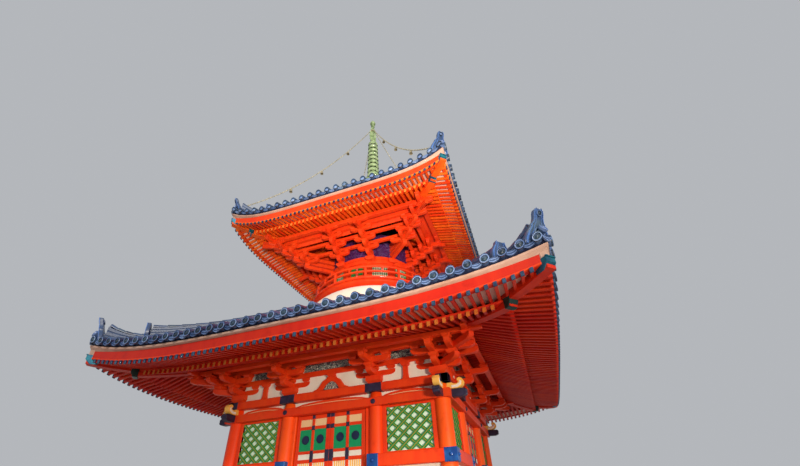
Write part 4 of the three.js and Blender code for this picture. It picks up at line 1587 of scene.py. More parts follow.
    def build(self) -> None:
        """Makes all the pieces of the roof."""
        self.bed()
        self.tiles()
        self.eave_tiles()
        self.ridges()


# The timber body


@dataclass
class Walled(Assembly):
    """What the parts on the square walls share.

    Attributes:
        half: Distance of the walls' middle from the centre line.
        bay: Distance of the door posts from it.
    """

    half: float = 2.250
    bay: float = 0.960


@dataclass
class TimberFrame(Walled):
    """Posts, rails, plates and beams of the lower storey.

    Attributes:
        radius: Radius of a post.
        foot: Foot of the posts.
        head: Head of the posts.
        face: Distance of the rails' faces.
        inner: Distance of their backs.
        rail: Underside and top of the rails under the windows.
    """

    radius: float = 0.145
    foot: float = 0.6503
    head: float = 3.5997
    face: float = 2.440
    inner: float = 2.20
    rail: tuple[float, float] = (2.34, 2.54)

    def posts(self) -> None:
        """Makes the twelve round posts, those beside the doors with their jambs; their paint is a brighter
        copy of the vermilion, as painted light.
        """
        r, top = self.radius, self.head
        neck = [(r, 3.40), (r - 0.008, 3.48), (r - 0.030, top - 0.008), (r - 0.038, top)]
        shaft = spun([(0, self.foot), (r, self.foot), *neck, (0, top)], 32)
        jamb = span((0.06, -0.06, 1.3003), (0.205, 0.06, 3.3347), 0.010)
        stop = span((0.06, 0.034, 1.3003), (0.214, 0.06, 3.3347), 0.004)
        left, right = joined([shaft, jamb, stop]), joined([shaft, jamb.mirrored(), stop.mirrored()])
        for quarter, side in enumerate(SIDES):
            for hand, x, post in (
                ("left", -self.bay, left), ("right", self.bay, right), ("corner", self.half, shaft),
            ):
                form = post.varied().moved(x, -self.half).turned(QUARTER * quarter)
                self.show(f"post_{side}_{hand}", form, "post_painted_light", [f"column_{side}_{hand}"])

    def rails(self) -> None:
        """Makes the sill and head rails with nail covers, and the head rail's dark noses."""
        nose = plate([
            (2.40, 3.345), (2.62, 3.342), (2.69, 3.365), (2.715, 3.40), (2.70, 3.425), (2.72, 3.45),
            (2.68, 3.478), (2.40, 3.478),
        ], 0.13, 0.008).moved(0, -self.half).painted(1)
        noses = on_four_sides(*with_mirrors(nose))
        for name, node, low, high, at, more in (
            ("sill_rail", "floor_rail", 1.1303, 1.30, 1.215, []),
            ("head_rail_ring", "head_rail", 3.335, 3.485, 3.41, [noses]),
        ):
            covers = [stud(0.048).moved(x, -self.face, at) for x in (-self.bay, self.bay)]
            rail = ring(self.face, self.inner, low, high)
            self.show(
                name, joined([rail, on_four_sides(*covers).painted(1), *more]), "vermilion iron", [node],
            )

    def waist_rails(self) -> None:
        """Makes the rails under the windows, with blue caps at the corner and beside the door posts."""
        (low, high), out, wall, lip = self.rail, 2.435, 2.2953, 0.006
        bottom, top, face = low - lip, high + lip, out + lip
        parts = [
            span((0.84, -out, low), (out, -wall, high), 0.010),
            span((wall, -wall - 0.01, low), (out, -0.84, high), 0.010),
        ]
        caps = [
            span((0.835, -face, bottom), (1.05, -wall, top), 0.008),
            span((2.215, -face, bottom), (face, -wall, top), 0.008),
            span((wall, -1.05, bottom), (face, -0.835, top), 0.008),
            span((wall, -wall - 0.01, bottom), (face, -2.215, top), 0.008),
        ]
        caps += [stud(0.030).moved(x, -face, 2.44) for x in (0.94, 2.33)]
        caps += [stud(0.030).turned(QUARTER).moved(face, -y, 2.44) for y in (0.94, 2.33)]
        form = joined([*parts, joined(caps).painted(1)])
        self.show_sides("window_rail_{}", form, "vermilion navy", "waist_rail_{}_corner")

    def _rainbow_beam(self, start: float, end: float) -> list[Form]:
        """A beam of one bay whose top is bowed, with a carved line along it.

        Args:
            start: The x of its left end.
            end: The x of its right end.

        Returns:
            The beam and the line.
        """
        shares = [k / 10 for k in range(11)]
        bow = [(start + (end - start) * s, 3.515 + 0.080 * math.sin(math.pi * s) ** 0.6) for s in shares]
        beam = plate([*bow, (end, 3.4855), (start, 3.4855)], 0.10, 0.006)
        inset = 0.12
        line = [
            (start + inset + (end - start - 2 * inset) * s, 3.508 + 0.026 * math.sin(math.pi * s))
            for s in shares
        ]
        carved = plate([*line, *[(x, z + 0.011) for x, z in reversed(line)]], 0.012).moved(0, -0.052)
        return [beam, carved.painted(1)]

    def plates(self) -> None:
        """Makes the bowed beams between the posts, the plate on them with its bands, and the pale noses."""
        bay, half, r = self.bay, self.half, self.radius - 0.02
        bays = ((-half + r, -bay - r), (-bay + r, bay - r), (bay + r, half - r))
        beams = [form for start, end in bays for form in self._rainbow_beam(start, end)]
        backing = span((-half, -0.02, 3.486), (half, 0.02, 3.60), 0.002).painted(2)
        curl = plate([
            (2.36, 3.489), (2.56, 3.489), (2.62, 3.505), (2.665, 3.545), (2.68, 3.60), (2.655, 3.655),
            (2.60, 3.675), (2.56, 3.655), (2.555, 3.62), (2.585, 3.60), (2.56, 3.575), (2.50, 3.565),
            (2.455, 3.597), (2.36, 3.597),
        ], 0.12, 0.006).painted(3)
        cheek = plate([
            (2.45, 3.50), (2.56, 3.50), (2.63, 3.54), (2.645, 3.60), (2.61, 3.62), (2.60, 3.575),
            (2.54, 3.545), (2.45, 3.545),
        ], 0.134, 0.003).painted(4)
        front = joined([*beams, backing, *with_mirrors(curl, cheek)]).moved(0, -half)
        nodes = each_side("head_plate")
        self.show("bowed_beams", on_four_sides(front), "vermilion cream plaster ochre white", nodes)
        low, high, face, inner = 3.597, 3.7505, 2.436, self.inner
        bands = [span((x - 0.17, -face, low), (x + 0.17, -inner, high)) for x in (-bay, bay)]
        bands += [
            span((inner, -face, low), (face, -2.30, high)), span((2.30, -face, low), (face, -inner, high)),
        ]
        form = joined([ring(2.43, 2.06, 3.6003, 3.75, 0.012), on_four_sides(*bands).painted(1)])
        self.show("head_plate_ring", form, "vermilion iron", nodes)

    def build(self) -> None:
        """Makes all the timbers."""
        self.posts()
        self.rails()
        self.waist_rails()
        self.plates()


@dataclass
class PlasterWalls(Assembly):
    """The plaster walls, which stay as the solids have them.

    Attributes:
        nodes: The frame's objects by node.
    """

    nodes: dict[str, bpy.types.Object]

    def build(self) -> None:
        """Gives the walls their finish."""
        for name in each_side("wall"):
            for hand in ("left", "right"):
                wall = self.nodes[f"{name}_{hand}"]
                wall.data.materials.clear()
                wall.data.materials.append(self.palette["plaster"])
                LOG.info("%s: plastered", wall.name)


def clipped(outline: Outline, low: Place, high: Place) -> Outline:
    """The part of a convex outline inside an upright box.

    Args:
        outline: Points in order.
        low: Lowest corner of the box.
        high: Its highest corner.

    Returns:
        The points of what is inside, in order.
    """
    points = [tuple(point) for point in outline]
    for axis, limit, sign in ((0, low[0], 1), (0, high[0], -1), (1, low[1], 1), (1, high[1], -1)):
        kept = []
        for first, second in zip(points, points[1:] + points[:1]):
            start, end = (sign * (point[axis] - limit) for point in (first, second))
            if start >= 0:
                kept.append(first)
            if start * end < 0:
                share = start / (start - end)
                kept.append(tuple(a + (b - a) * share for a, b in zip(first, second)))
        points = kept
    return points


@dataclass
class LatticeWindow(Assembly):
    """The green diagonal lattice of a side bay, in its red frame over a white board.

    Attributes:
        low: Lowest corner of the opening, in x and z.
        high: Its highest corner.
        pitch: Distance between the lattice's crossings along x and z.
        bar: Width of a bar.
    """

    low: tuple[float, float] = (1.175, 2.572)
    high: tuple[float, float] = (2.035, 3.302)
    pitch: tuple[float, float] = (0.215, 0.1825)
    bar: float = 0.052

    def _bars(self, wide: float, depth: float, places: tuple[float, float], finish: int) -> list[Form]:
        """All the bars of one kind, those that lean right and those that lean left.

        Args:
            wide: Their width.
            depth: Their depth.
            places: The middles of both.
            finish: Their finish.

        Returns:
            The bars.
        """
        forms = []
        for lean, y in zip((1, -1), places):
            step = np.array((self.pitch[0], lean * self.pitch[1]))
            step /= np.linalg.norm(step)
            across = np.array((-step[1], step[0])) * wide / 2
            middle = (np.array(self.low) + self.high) / 2
            for k in range(-4, 5):
                centre = middle + (k * self.pitch[0], 0)
                corners = [
                    centre + a * step * 2 + b * across for a, b in ((-1, -1), (1, -1), (1, 1), (-1, 1))
                ]
                outline = clipped(corners, self.low, self.high)
                if len(outline) > 2:
                    forms.append(plate(outline, depth).moved(0, y).painted(finish))
        return forms

    def build(self) -> None:
        """Makes the eight windows."""
        (x0, z0), (x1, z1) = self.low, self.high
        foot, top, back = 2.541, 3.3345, -2.22
        form = joined([
            span((1.09, -2.312, foot), (x0, back, top)),
            span((x1, -2.312, foot), (2.12, back, top)),
            span((x0 - 0.01, -2.310, foot), (x1 + 0.01, back, z0)),
            span((x0 - 0.01, -2.310, z1), (x1 + 0.01, back, top)),
            *self._bars(self.bar, 0.018, (-2.288, -2.270), 1),
            *self._bars(0.009, 0.004, (-2.298, -2.280), 2),
            span((x0, -2.2540, z0), (x1, -2.2502, z1), 0.001).painted(3),
        ])
        for quarter, side in enumerate(SIDES):
            for hand, bay in (("left", form.mirrored()), ("right", form)):
                name = f"lattice_window_{side}_{hand}"
                self.show(
                    name, bay.turned(QUARTER * quarter), "vermilion green bar_edge mint", slot=Slot.BOARD,
                )


@dataclass
class PanelledDoors(Assembly):
    """Pairs of panelled doors; those of the front and the right swing on their heels.

    Attributes:
        heel: Distance of the hinge line from the middle.
        low: Foot of a leaf.
        high: Its top.
        depth: Depth of its timbers.
        wall: Distance of the doors from the centre line.
    """

    heel: float = 0.719
    low: float = 1.306
    high: float = 3.329
    depth: float = 0.052
    wall: float = 2.25

    def _slab(self, x: Place, z: Place, depth: float, finish: int = 0, edge: float = 0.004) -> Form:
        """A board of the leaf, centred in its depth."""
        return span((x[0], -depth / 2, z[0]), (x[1], depth / 2, z[1]), edge).painted(finish)

    def _bay(self, left: float, right: float) -> list[Form]:
        """The panels, bars and boss between two stiles.

        Args:
            left: The x of the left stile's edge.
            right: The x of the right stile's edge.

        Returns:
            The forms.
        """
        x, middle = (left - 0.01, right + 0.01), (left + right) / 2
        forms = [
            self._slab(x, (1.42, 1.89), 0.018),
            self._slab((left + 0.045, right - 0.045), (1.465, 1.835), 0.030, 0, 0.006),
        ]
        for low, high, depth, finish in (
            (1.94, 2.51, 0.010, 3), (2.55, 2.66, 0.020, 3), (2.69, 3.08, 0.020, 1), (3.12, 3.27, 0.020, 2),
        ):
            forms.append(self._slab(x, (low, high), depth, finish))
        for k in range(-2, 3):
            bar = middle + 0.044 * k
            forms.append(self._slab((bar - 0.011, bar + 0.011), (1.945, 2.505), 0.030, 4))
        forms.append(self._slab(x, (2.215, 2.235), 0.036, 0, 0.002))
        boss = spun(
            [(0, -0.022), (0.074, -0.022), (0.080, -0.012), (0.080, 0.012), (0.074, 0.022), (0, 0.022)], 20,
        )
        return [*forms, boss.turned(QUARTER, "X").moved(middle, 0, 2.895).painted(5)]

    def leaf(self) -> Form:
        """The left leaf with its middle plane on y = 0.

        Returns:
            The leaf; finishes are red, green, cream, white, ochre, navy and iron.
        """
        low, high = self.low, self.high
        forms = [
            spun(
                [(0, foot), (radius, foot), (radius, top), (0, top)], steps,
            ).moved(-self.heel).painted(finish)
            for radius, foot, top, steps, finish in (
                (0.0295, low, high, 20, 0), (0.012, 1.3003, 3.3347, 12, 6),
            )
        ]
        stiles = ((-self.heel, -0.664), (-0.401, -0.345), (-0.082, -0.003))
        forms += [self._slab(x, (low, high), self.depth) for x in stiles]
        rails = ((low, 1.42), (1.88, 1.95), (2.50, 2.56), (2.65, 2.70), (3.075, 3.13), (3.26, high))
        forms += [self._slab((-0.70, -0.02), z, self.depth - 0.004) for z in rails]
        forms += [*self._bay(-0.664, -0.401), *self._bay(-0.345, -0.082)]
        for z, tall in ((3.10, 0.085), (2.605, 0.20), (3.295, 0.068)):
            for x in ((-0.408, -0.338), (-0.088, -0.0035)):
                forms.append(self._slab(x, (z - tall / 2, z + tall / 2), 0.059, 6, 0.006))
        return joined(forms)

    def build(self) -> None:
        """Makes the four moving leaves, and the closed pairs at the back and the left."""
        leaf = self.leaf()
        finishes = "vermilion panel_green cream white ochre boss iron"
        pair = [form.moved(0, -self.wall) for form in with_mirrors(leaf)]
        for quarter, side in enumerate(SIDES[:2]):
            for hand, form in zip(("left", "right"), pair):
                body = f"door_{side}_{hand}"
                self.show(f"leaf_{side}_{hand}", form.turned(QUARTER * quarter), finishes, [body], body=body)
        self.show_sides("closed_doors_{}", joined(pair), finishes, "doors_{}", (2, 3))


@dataclass
class LowerBrackets(Walled):
    """The frieze over the posts, its two-step bracket sets and the purlin that they carry.

    Attributes:
        step: How far one arm steps out.
        foot: Foot of the sets.
        levels: Undersides of the two tiers of arms.
        arm: Width and height of an arm.
        great: Half the width, and the height, of the block on a post.
        small: Half the width of a small block.
    """

    step: float = 0.350
    foot: float = 3.7503
    levels: tuple[float, float] = (3.905, 4.085)
    arm: tuple[float, float] = (0.11, 0.11)
    great: tuple[float, float] = (0.165, 0.155)
    small: float = 0.085

    def _outward(self, reach: float, z: float, angle: float = -QUARTER) -> Form:
        """An arm that steps out, with its rounded end outwards."""
        return arm(reach + 0.09, self.arm[1], self.arm[0], True).turned(angle).moved(z=z)

    def _cross(self, length: float, count: int = 3) -> Form:
        """An arm along the wall with its blocks."""
        return loaded_arm(length, self.arm, self.small, 0.07, count)

    def _set(self) -> Form:
        """A set on a straight wall, with the post's middle at x = y = 0.

        Returns:
            The form.
        """
        step, tall = self.step, self.arm[1]
        low, high = self.levels
        cross = self._cross(0.86)
        return joined([
            bearing(*self.great).moved(z=self.foot), cross.moved(z=low), self._outward(step, low),
            bearing(self.small, 0.07).moved(0, -step, low + tall), cross.moved(0, -step, high),
            self._outward(2 * step, high), bearing(self.small, 0.055).moved(0, -2 * step, high + tall),
        ])

    def _corner(self) -> Form:
        """The set on a corner post, with its diagonal arms; outwards are +x and -y.

        Returns:
            The form.
        """
        step, far, tall = self.step, 2 * self.step, self.arm[1]
        low, high = self.levels
        through, long_arm = self._cross(0.87).moved(z=low), self._cross(1.22, 4)
        forms = [bearing(*self.great).moved(z=self.foot), through, through.turned(QUARTER)]
        forms += [long_arm.moved(0.18, -step, high), long_arm.turned(QUARTER).moved(step, -0.18, high)]
        forms += [self._outward(far, high), self._outward(far, high, 0)]
        for reach, z in ((1, low), (2, high)):
            forms.append(self._outward(reach * step * ROOT2 + 0.06, z, -QUARTER / 2))
        for x, y in ((0, -far), (far, 0), (far, -far), (step, -far), (far, -step)):
            forms.append(bearing(self.small, 0.055).moved(x, y, high + tall))
        return joined([*forms, bearing(0.10, 0.07).moved(step, -step, low + tall)])

    def _frog_leg(self) -> list[Form]:
        """The strut with spread legs over the doors, and its painted filling.

        Returns:
            The forms.
        """
        half = [
            (0, 4.03), (0.10, 4.03), (0.115, 3.995), (0.20, 3.955), (0.25, 3.88), (0.30, 3.82),
            (0.38, 3.79), (0.42, 3.752), (0.20, 3.752), (0.17, 3.80), (0.12, 3.87), (0.06, 3.92), (0, 3.93),
        ]
        legs = plate([*half, *[(-x, z) for x, z in reversed(half[1:-1])]], 0.08, 0.006)
        fill = plate([(-0.19, 3.755), (0.19, 3.755), (0.12, 3.89), (0, 3.94), (-0.12, 3.89)], 0.03, 0.004)
        return [legs, fill.painted(3), bearing(self.small, 0.06).moved(z=4.025)]

    def frieze(self) -> None:
        """Makes the plaster frieze with its beams, struts and painted scroll panels."""
        right = [(0.10, 3.752), (0.060, 3.79), (0.048, 3.86), (0.048, 4.015)]
        flare = plate([(-0.10, 3.752), *right, *[(-x, z) for x, z in reversed(right[1:])]], 0.09, 0.005)
        strut = joined([flare, bearing(self.small, 0.07).moved(z=4.015)])
        struts = [strut.moved(-1.605), strut.moved(1.605), *self._frog_leg()]
        panels = [
            span((x0, -2.325, 4.205), (x1, -2.29, 4.42), 0.008).painted(2)
            for x0, x1 in ((-1.95, -1.26), (-0.68, 0.68), (1.26, 1.95))
        ]
        front = on_four_sides(joined(struts).moved(0, -2.315), *panels)
        plaster = ring(2.30, 2.20, self.foot, 4.50).painted(1)
        form = joined([plaster, ring(2.345, 2.21, 4.087, 4.193), ring(2.345, 2.21, 4.43, 4.535), front])
        self.show(
            "frieze", form, "vermilion plaster scroll scroll", each_side("lower_brackets"), Slot.PLASTER,
        )

    def sets(self) -> None:
        """Makes the bracket sets of each side."""
        forms = [self._set().moved(x, -self.half) for x in (-self.bay, self.bay)]
        form = joined([*forms, self._corner().moved(self.half, -self.half)])
        self.show_sides("lower_bracket_sets_{}", form, "vermilion", "lower_brackets_{}")

    def purlin(self) -> None:
        """Makes the purlin on the outer arms and the beam on the inner ones, with their crossing ends."""
        ends = joined([
            span((2.90, -3.004, 4.25), (3.24, -2.896, 4.33), 0.010),
            span((2.60, -2.649, 4.267), (2.86, -2.551, 4.35), 0.010),
        ])
        rings = [ring(3.005, 2.895, 4.25, 4.332), ring(2.65, 2.55, 4.265, 4.40)]
        form = joined([*rings, on_four_sides(*with_mirrors(ends))])
        self.show("lower_purlin", form, "vermilion", each_side("lower_brackets"))

    def build(self) -> None:
        """Makes the whole tier."""
        self.frieze()
        self.sets()
        self.purlin()


@dataclass
class UpperBrackets(Assembly):
    """The four-step bracket sets that carry the square upper eave from the round drum.

    Attributes:
        foot: Underside of the lowest arms.
        rise: Height of one step.
        steps: Distances of the steps.
        sets: The x of the sets on a side.
        arm: Width and height of an arm.
        root: Distance at which the arms begin.
    """

    foot: float = 7.575
    rise: float = 0.155
    steps: tuple[float, ...] = (1.505, 1.750, 1.995, 2.240)
    sets: tuple[float, ...] = (-0.45, 0.45)
    arm: tuple[float, float] = (0.10, 0.10)
    root: float = 1.22

    def _outward(self, spread: float) -> list[Form]:
        """The arms of one set that step out, with their blocks.

        Args:
            spread: How much further out they reach than on a straight side.

        Returns:
            The forms, towards -Y.
        """
        forms = [bearing(0.13, 0.10).moved(0, -1.30, self.foot - 0.10)]
        for k, out in enumerate(self.steps):
            z, reach = self.foot + self.rise * k, out * spread
            timber = arm(reach - self.root + 0.08, self.arm[1], self.arm[0], True)
            forms.append(timber.turned(-QUARTER).moved(0, -self.root, z))
            forms.append(bearing(0.075, 0.055).moved(0, -reach, z + self.arm[1]))
        tail = stick((0.085, 1.20 * spread, 0.12), 0.008)
        tail.points[:, 2] += 0.36 / spread * tail.points[:, 1]
        return [*forms, tail.moved(0, -(self.steps[3] + 0.20) * spread, 7.955)]

    def bracket_sets(self) -> None:
        """Makes the sets of each side with their cross arms, and the hip set with its strut at its right."""
        straight = joined(self._outward(1.0))
        forms = [straight.moved(x) for x in self.sets]
        cross, corner = (loaded_arm(length, self.arm, 0.065, 0.055) for length in (0.62, 0.72))
        for k, out in enumerate(self.steps):
            z = self.foot + self.rise * (k + 1) - (0.035 if k == 3 else 0)
            forms += [cross.moved(x, -out, z) for x in self.sets]
            end = corner.moved(out - 0.02, -out, z)
            forms += [end, end.mirrored().turned(QUARTER)]
        post = spun([(0, 8.16), (0.075, 8.16), (0.085, 8.20), (0.065, 8.26), (0.075, 8.36), (0, 8.36)], 16)
        strut = joined([bearing(0.11, 0.08).moved(z=8.085), post]).moved(0, -self.steps[3] * ROOT2 - 0.04)
        form = joined([*forms, joined([*self._outward(ROOT2), strut]).turned(QUARTER / 2)])
        self.show_sides("upper_bracket_sets_{}", form, "vermilion", "upper_brackets_{}")

    def beams(self) -> None:
        """Makes the square beams on the steps, the purlin, the cove under the rafters and the round core."""
        forms = []
        for k, out in enumerate(self.steps[:3]):
            low = self.foot + self.rise * (k + 2)
            forms.append(ring(out + 0.045, out - 0.045, low, low + 0.085))
        end = span((2.20, -2.294, 8.20), (2.52, -2.186, 8.30), 0.010)
        cove = run([
            (-2.20, 8.295), (-2.06, 8.27), (-1.93, 8.215), (-1.86, 8.14), (-1.84, 8.14), (-1.84, 8.33),
            (-2.20, 8.33),
        ], CUTS)
        forms += [
            ring(2.295, 2.185, 8.20, 8.312), on_four_sides(*with_mirrors(end)),
            on_four_sides(cove.reshaped(UPPER_LINE.mitred)),
            # The round core takes the dark purple-navy as painted shade.
            ring(1.31, 1.20, 7.5605, 8.46, 0.006, 56).painted(1), ring(1.345, 1.20, 7.5605, 7.64, 0.008, 56),
        ]
        self.show("upper_bracket_beams", joined(forms), "vermilion night_panel", each_side("upper_brackets"))

    def build(self) -> None:
        """Makes the whole tier."""
        self.bracket_sets()
        self.beams()


# The round storey and the finial


@dataclass
class RoundStorey(Assembly):
    """The white dome, the balcony with its railing, and the drum with its doors and windows.

    Attributes:
        drum: Radius of the drum.
        hollow: Radius of the hollow inside the dome and the drum.
        steps: Steps round the axis.
        balcony: Radius of the balcony's boards.
        rail: Radius of the railing.
    """

    drum: float = 1.250
    hollow: float = 1.16
    steps: int = 64
    balcony: float = 1.80
    rail: float = 1.72

    def _round(self, form: Form, count: int, offset: float = 0.0) -> Form:
        """Copies of a front form round the axis."""
        return joined([form.turned(2 * math.pi * (k + offset) / count) for k in range(count)])

    def dome(self) -> None:
        """Makes the plaster dome."""
        arc = [(1.42 + 0.56 * math.cos(a), 5.96 + 0.60 * math.sin(a)) for a in np.linspace(0, QUARTER, 13)]
        inner = self.hollow
        form = spun([(inner, 5.56), (1.98, 5.56), *arc, (inner, 6.56)], self.steps, True)
        self.show("plaster_dome", form, "plaster", ["dome"], Slot.PLASTER, angle=50)

    def floor(self) -> None:
        """Makes the balcony of radial boards on a coved ring."""
        cove = [(1.255, 6.5603), (1.62, 6.5603), (1.66, 6.585), (1.735, 6.60), (1.74, 6.655), (1.255, 6.655)]
        board = stick((0.183, 0.545, 0.034), 0.004).moved(0, -self.balcony, 6.656)
        board.points[:, 0] *= -board.points[:, 1] / self.balcony
        boards = [board.turned(k * math.pi / 30).varied() for k in range(60)]
        self.show("balcony_floor", joined([spun(cove, self.steps, True), *boards]), "vermilion", ["balcony"])

    def railing(self) -> None:
        """Makes the railing with its posts, struts and hoops."""
        post = joined([
            span((-0.028, -1.748, 6.6905), (0.028, -1.692, 7.065), 0.005),
            span((-0.036, -1.757, 7.00), (0.036, -1.683, 7.03), 0.005),
        ])
        strut = joined([
            span((-0.018, -1.738, 6.92), (0.018, -1.702, 7.03), 0.004),
            bearing(0.034, 0.03).moved(0, -self.rail, 7.0),
        ])
        turns = np.linspace(0, 2 * math.pi, 9)[:-1]
        form = joined([
            ring(1.75, 1.69, 6.6903, 6.75, 0.008, 60), ring(1.742, 1.698, 6.88, 6.925, 0.006, 60),
            spun([(self.rail + 0.030 * math.cos(a), 7.05 + 0.030 * math.sin(a)) for a in turns], 60, True),
            self._round(post, 12, 0.5), self._round(strut, 12),
        ])
        self.show("round_railing", form, "vermilion", ["balcony_railing"])

    def drum_wall(self) -> None:
        """Makes the drum with its engaged columns, rails, four doors and eight barred windows."""
        r, low, high, half = self.drum, 6.79, 7.44, 0.215
        face, back, out = -1.267, -1.202, -1.222
        inner, foot, top = self.hollow, 6.5605, 7.56
        wall = spun([(inner, foot), (r, foot), (r, top), (inner, top)], self.steps, True).painted(1)
        column = spun([(0, 6.69), (0.082, 6.69), (0.082, 7.50), (0.070, 7.558), (0, 7.558)], 16).moved(0, -r)
        rails = [ring(r + 0.075, 1.18, z0, z1, 0.008, self.steps) for z0, z1 in ((6.69, 6.79), (7.44, 7.558))]
        frame = [span((x, face, low), (x + 0.05, back, high), 0.005) for x in (-half - 0.05, half)]
        frame += [span((-half, face, z), (half, back, z + 0.05), 0.005) for z in (low, high - 0.05)]
        leaves = [
            span((x0, out - 0.028, low + 0.05), (x1, out + 0.01, high - 0.05), 0.004)
            for x0, x1 in ((-half, -0.003), (0.003, half))
        ]
        leaves += [
            span((x - 0.07, out - 0.036, z), (x + 0.07, out, z + tall), 0.008).painted(2)
            for x in (-0.108, 0.108) for z, tall in ((6.88, 0.17), (7.10, 0.25))
        ]
        sill = span((-half, face, low + 0.20), (half, back, low + 0.25), 0.005)
        white = span((-half, out - 0.012, low), (half, out, high), 0.001).painted(1)
        bars = [
            span((x - 0.014, out - 0.03, low + 0.25), (x + 0.014, out, high - 0.05), 0.004).painted(2)
            for x in np.linspace(-0.185, 0.185, 8)
        ]
        window = joined([*frame, sill, white, *bars])
        turns = [window.turned(k * math.pi / 6) for k in range(12) if k % 3]
        doors = self._round(joined([*frame, *leaves]), 4)
        form = joined([wall, self._round(column, 12, 0.5), *rails, doors, *turns])
        self.show("drum_wall", form, "vermilion plaster green", ["drum"], Slot.PLASTER)

    def build(self) -> None:
        """Makes the whole storey."""
        self.dome()
        self.floor()
        self.railing()
        self.drum_wall()


@dataclass
class Finial(Assembly):
    """The bronze finial: box, bowl and lotus, nine belled rings, flames and jewel, and its four chains.

    Attributes:
        first_ring: Height of the lowest ring.
        ring_step: Distance between rings.
        rings: Number of rings.
        ring_radius: Radius of the lowest ring.
        chain_top: Distance out and height of a chain's upper end.
        chain_end: Distance out of its lower end.
        sag: How far it sags.
        link: Length of a link that shows.
    """

    first_ring: float = 12.310
    ring_step: float = 0.235
    rings: int = 9
    ring_radius: float = 0.232
    chain_top: tuple[float, float] = (0.0672, 15.2)
    chain_end: float = 2.95
    sag: float = 0.62
    link: float = 0.078

    def _petal(self) -> Form:
        """A lotus petal, modelled from a dished tile with its outer end rounded and curled up.

        Returns:
            The form, towards -Y.
        """
        form = pan(0.125, 1, 0.025, 0.012)
        share = form.points[:, 1].copy()
        form.points[:, 1] = -0.12 - 0.17 * share
        form.points[:, 2] += 12.02 + 0.17 * share ** 1.5
        return form

    def base(self) -> None:
        """Makes the dew basin, the bowl and the lotus."""
        box = squared([
            (0, 11.2), (0.45, 11.2), (0.45, 11.245), (0.425, 11.262), (0.42, 11.53), (0.44, 11.555),
            (0.465, 11.57), (0.465, 11.62), (0, 11.62),
        ])
        frames = [span((x0, -0.432, z0), (x1, -0.41, z1), 0.004) for x0, x1, z0, z1 in (
            (-0.40, -0.35, 11.28, 11.52), (0.35, 0.40, 11.28, 11.52), (-0.02, 0.02, 11.28, 11.52),
            (-0.36, 0.36, 11.28, 11.32), (-0.36, 0.36, 11.48, 11.52),
        )]
        bowl = spun([
            (0, 11.61), (0.362, 11.61), (0.358, 11.70), (0.335, 11.78), (0.285, 11.86), (0.20, 11.93),
            (0.126, 11.96), (0.118, 12.00), (0.15, 12.03), (0.22, 12.08), (0.25, 12.15), (0.20, 12.20),
            (0, 12.20),
        ], 32)
        bands = [ring(r, r - 0.03, z, z + 0.02, 0.004, 32) for r, z in ((0.368, 11.63), (0.366, 11.68))]
        petals = [self._petal().turned(k * math.pi / 4) for k in range(8)]
        form = joined([box, on_four_sides(*frames), bowl, *bands, *petals])
        self.show("finial_pedestal", form, "bronze", ["finial_base"], Slot.BRONZE)

    def _ring(self) -> Form:
        """One hoop with its hub, spokes and hanging bells, with its underside at z = 0.

        Returns:
            The form.
        """
        r = self.ring_radius
        hoop = spun([
            (r - 0.050, 0.0), (r - 0.016, -0.006), (r - 0.002, 0.016), (r + 0.004, 0.066), (r - 0.002, 0.116),
            (r - 0.016, 0.138), (r - 0.050, 0.132),
        ], 32, True)
        hub = spun([(0.05, -0.01), (0.085, 0.0), (0.095, 0.03), (0.085, 0.10), (0.05, 0.115)], 16, True)
        spoke = span((-0.010, -r + 0.02, 0.03), (0.010, -0.07, 0.085), 0.003)
        spoke = joined([spoke, bell(0.022, 0.050).moved(0, -r + 0.008, 0.004).painted(1)])
        return joined([hoop, hub, *[spoke.turned(k * math.pi / 4) for k in range(8)]])

    def spire(self) -> None:
        """Makes the pole with its rings, the four flame plates and the jewel."""
        above = self.first_ring + self.rings * self.ring_step
        forms = [spun([
            (0, 12.2003), (0.055, 12.2003), (0.055, above), (0.115, above + 0.05), (0.055, above + 0.12),
            (0.050, 15.62), (0.10, 15.67), (0.12, 15.74), (0.10, 15.82), (0.05, 15.90), (0.012, 15.97),
            (0, 16.0),
        ], 20)]
        hoop = self._ring()
        for k in range(self.rings):
            size = 1 - 0.018 * k
            forms.append(hoop.scaled(size, size, 1).moved(z=self.first_ring + self.ring_step * k))
        foot = above + 0.14
        tall = 15.50 - foot
        flame = plate([(x, foot + tall * share) for x, share in (
            (0.045, 0), (0.12, 0.04), (0.155, 0.14), (0.12, 0.20), (0.15, 0.28), (0.165, 0.38),
            (0.125, 0.44), (0.145, 0.53), (0.15, 0.64), (0.105, 0.70), (0.115, 0.80), (0.08, 0.90),
            (0.045, 1.0), (0.03, 1.0), (0.03, 0.0),
        )], 0.016, 0.003)
        forms += [flame.turned(QUARTER * k + QUARTER / 2) for k in range(4)]
        for z in (foot, 15.53):
            forms.append(
                spun([(0, z - 0.05), (0.06, z - 0.045), (0.085, z), (0.06, z + 0.045), (0, z + 0.05)], 16)
            )
        self.show("finial_mast", joined(forms), "bronze iron", ["finial_spire"], Slot.BRONZE)

    def _strand(self, share: Points) -> Points:
        """Points of the chain towards the front right corner.

        Args:
            share: How far along its way they lie, from 0 to 1.

        Returns:
            The points.
        """
        end, (start, head) = np.array(self.chain_end), self.chain_top
        top = float(UPPER_LINE.surface(end) + UPPER_LINE.rise(end, end)) + 0.25
        out = start + (self.chain_end - start) * share
        return np.stack([out, -out, head + (top - head) * share - 4 * self.sag * share * (1 - share)], -1)

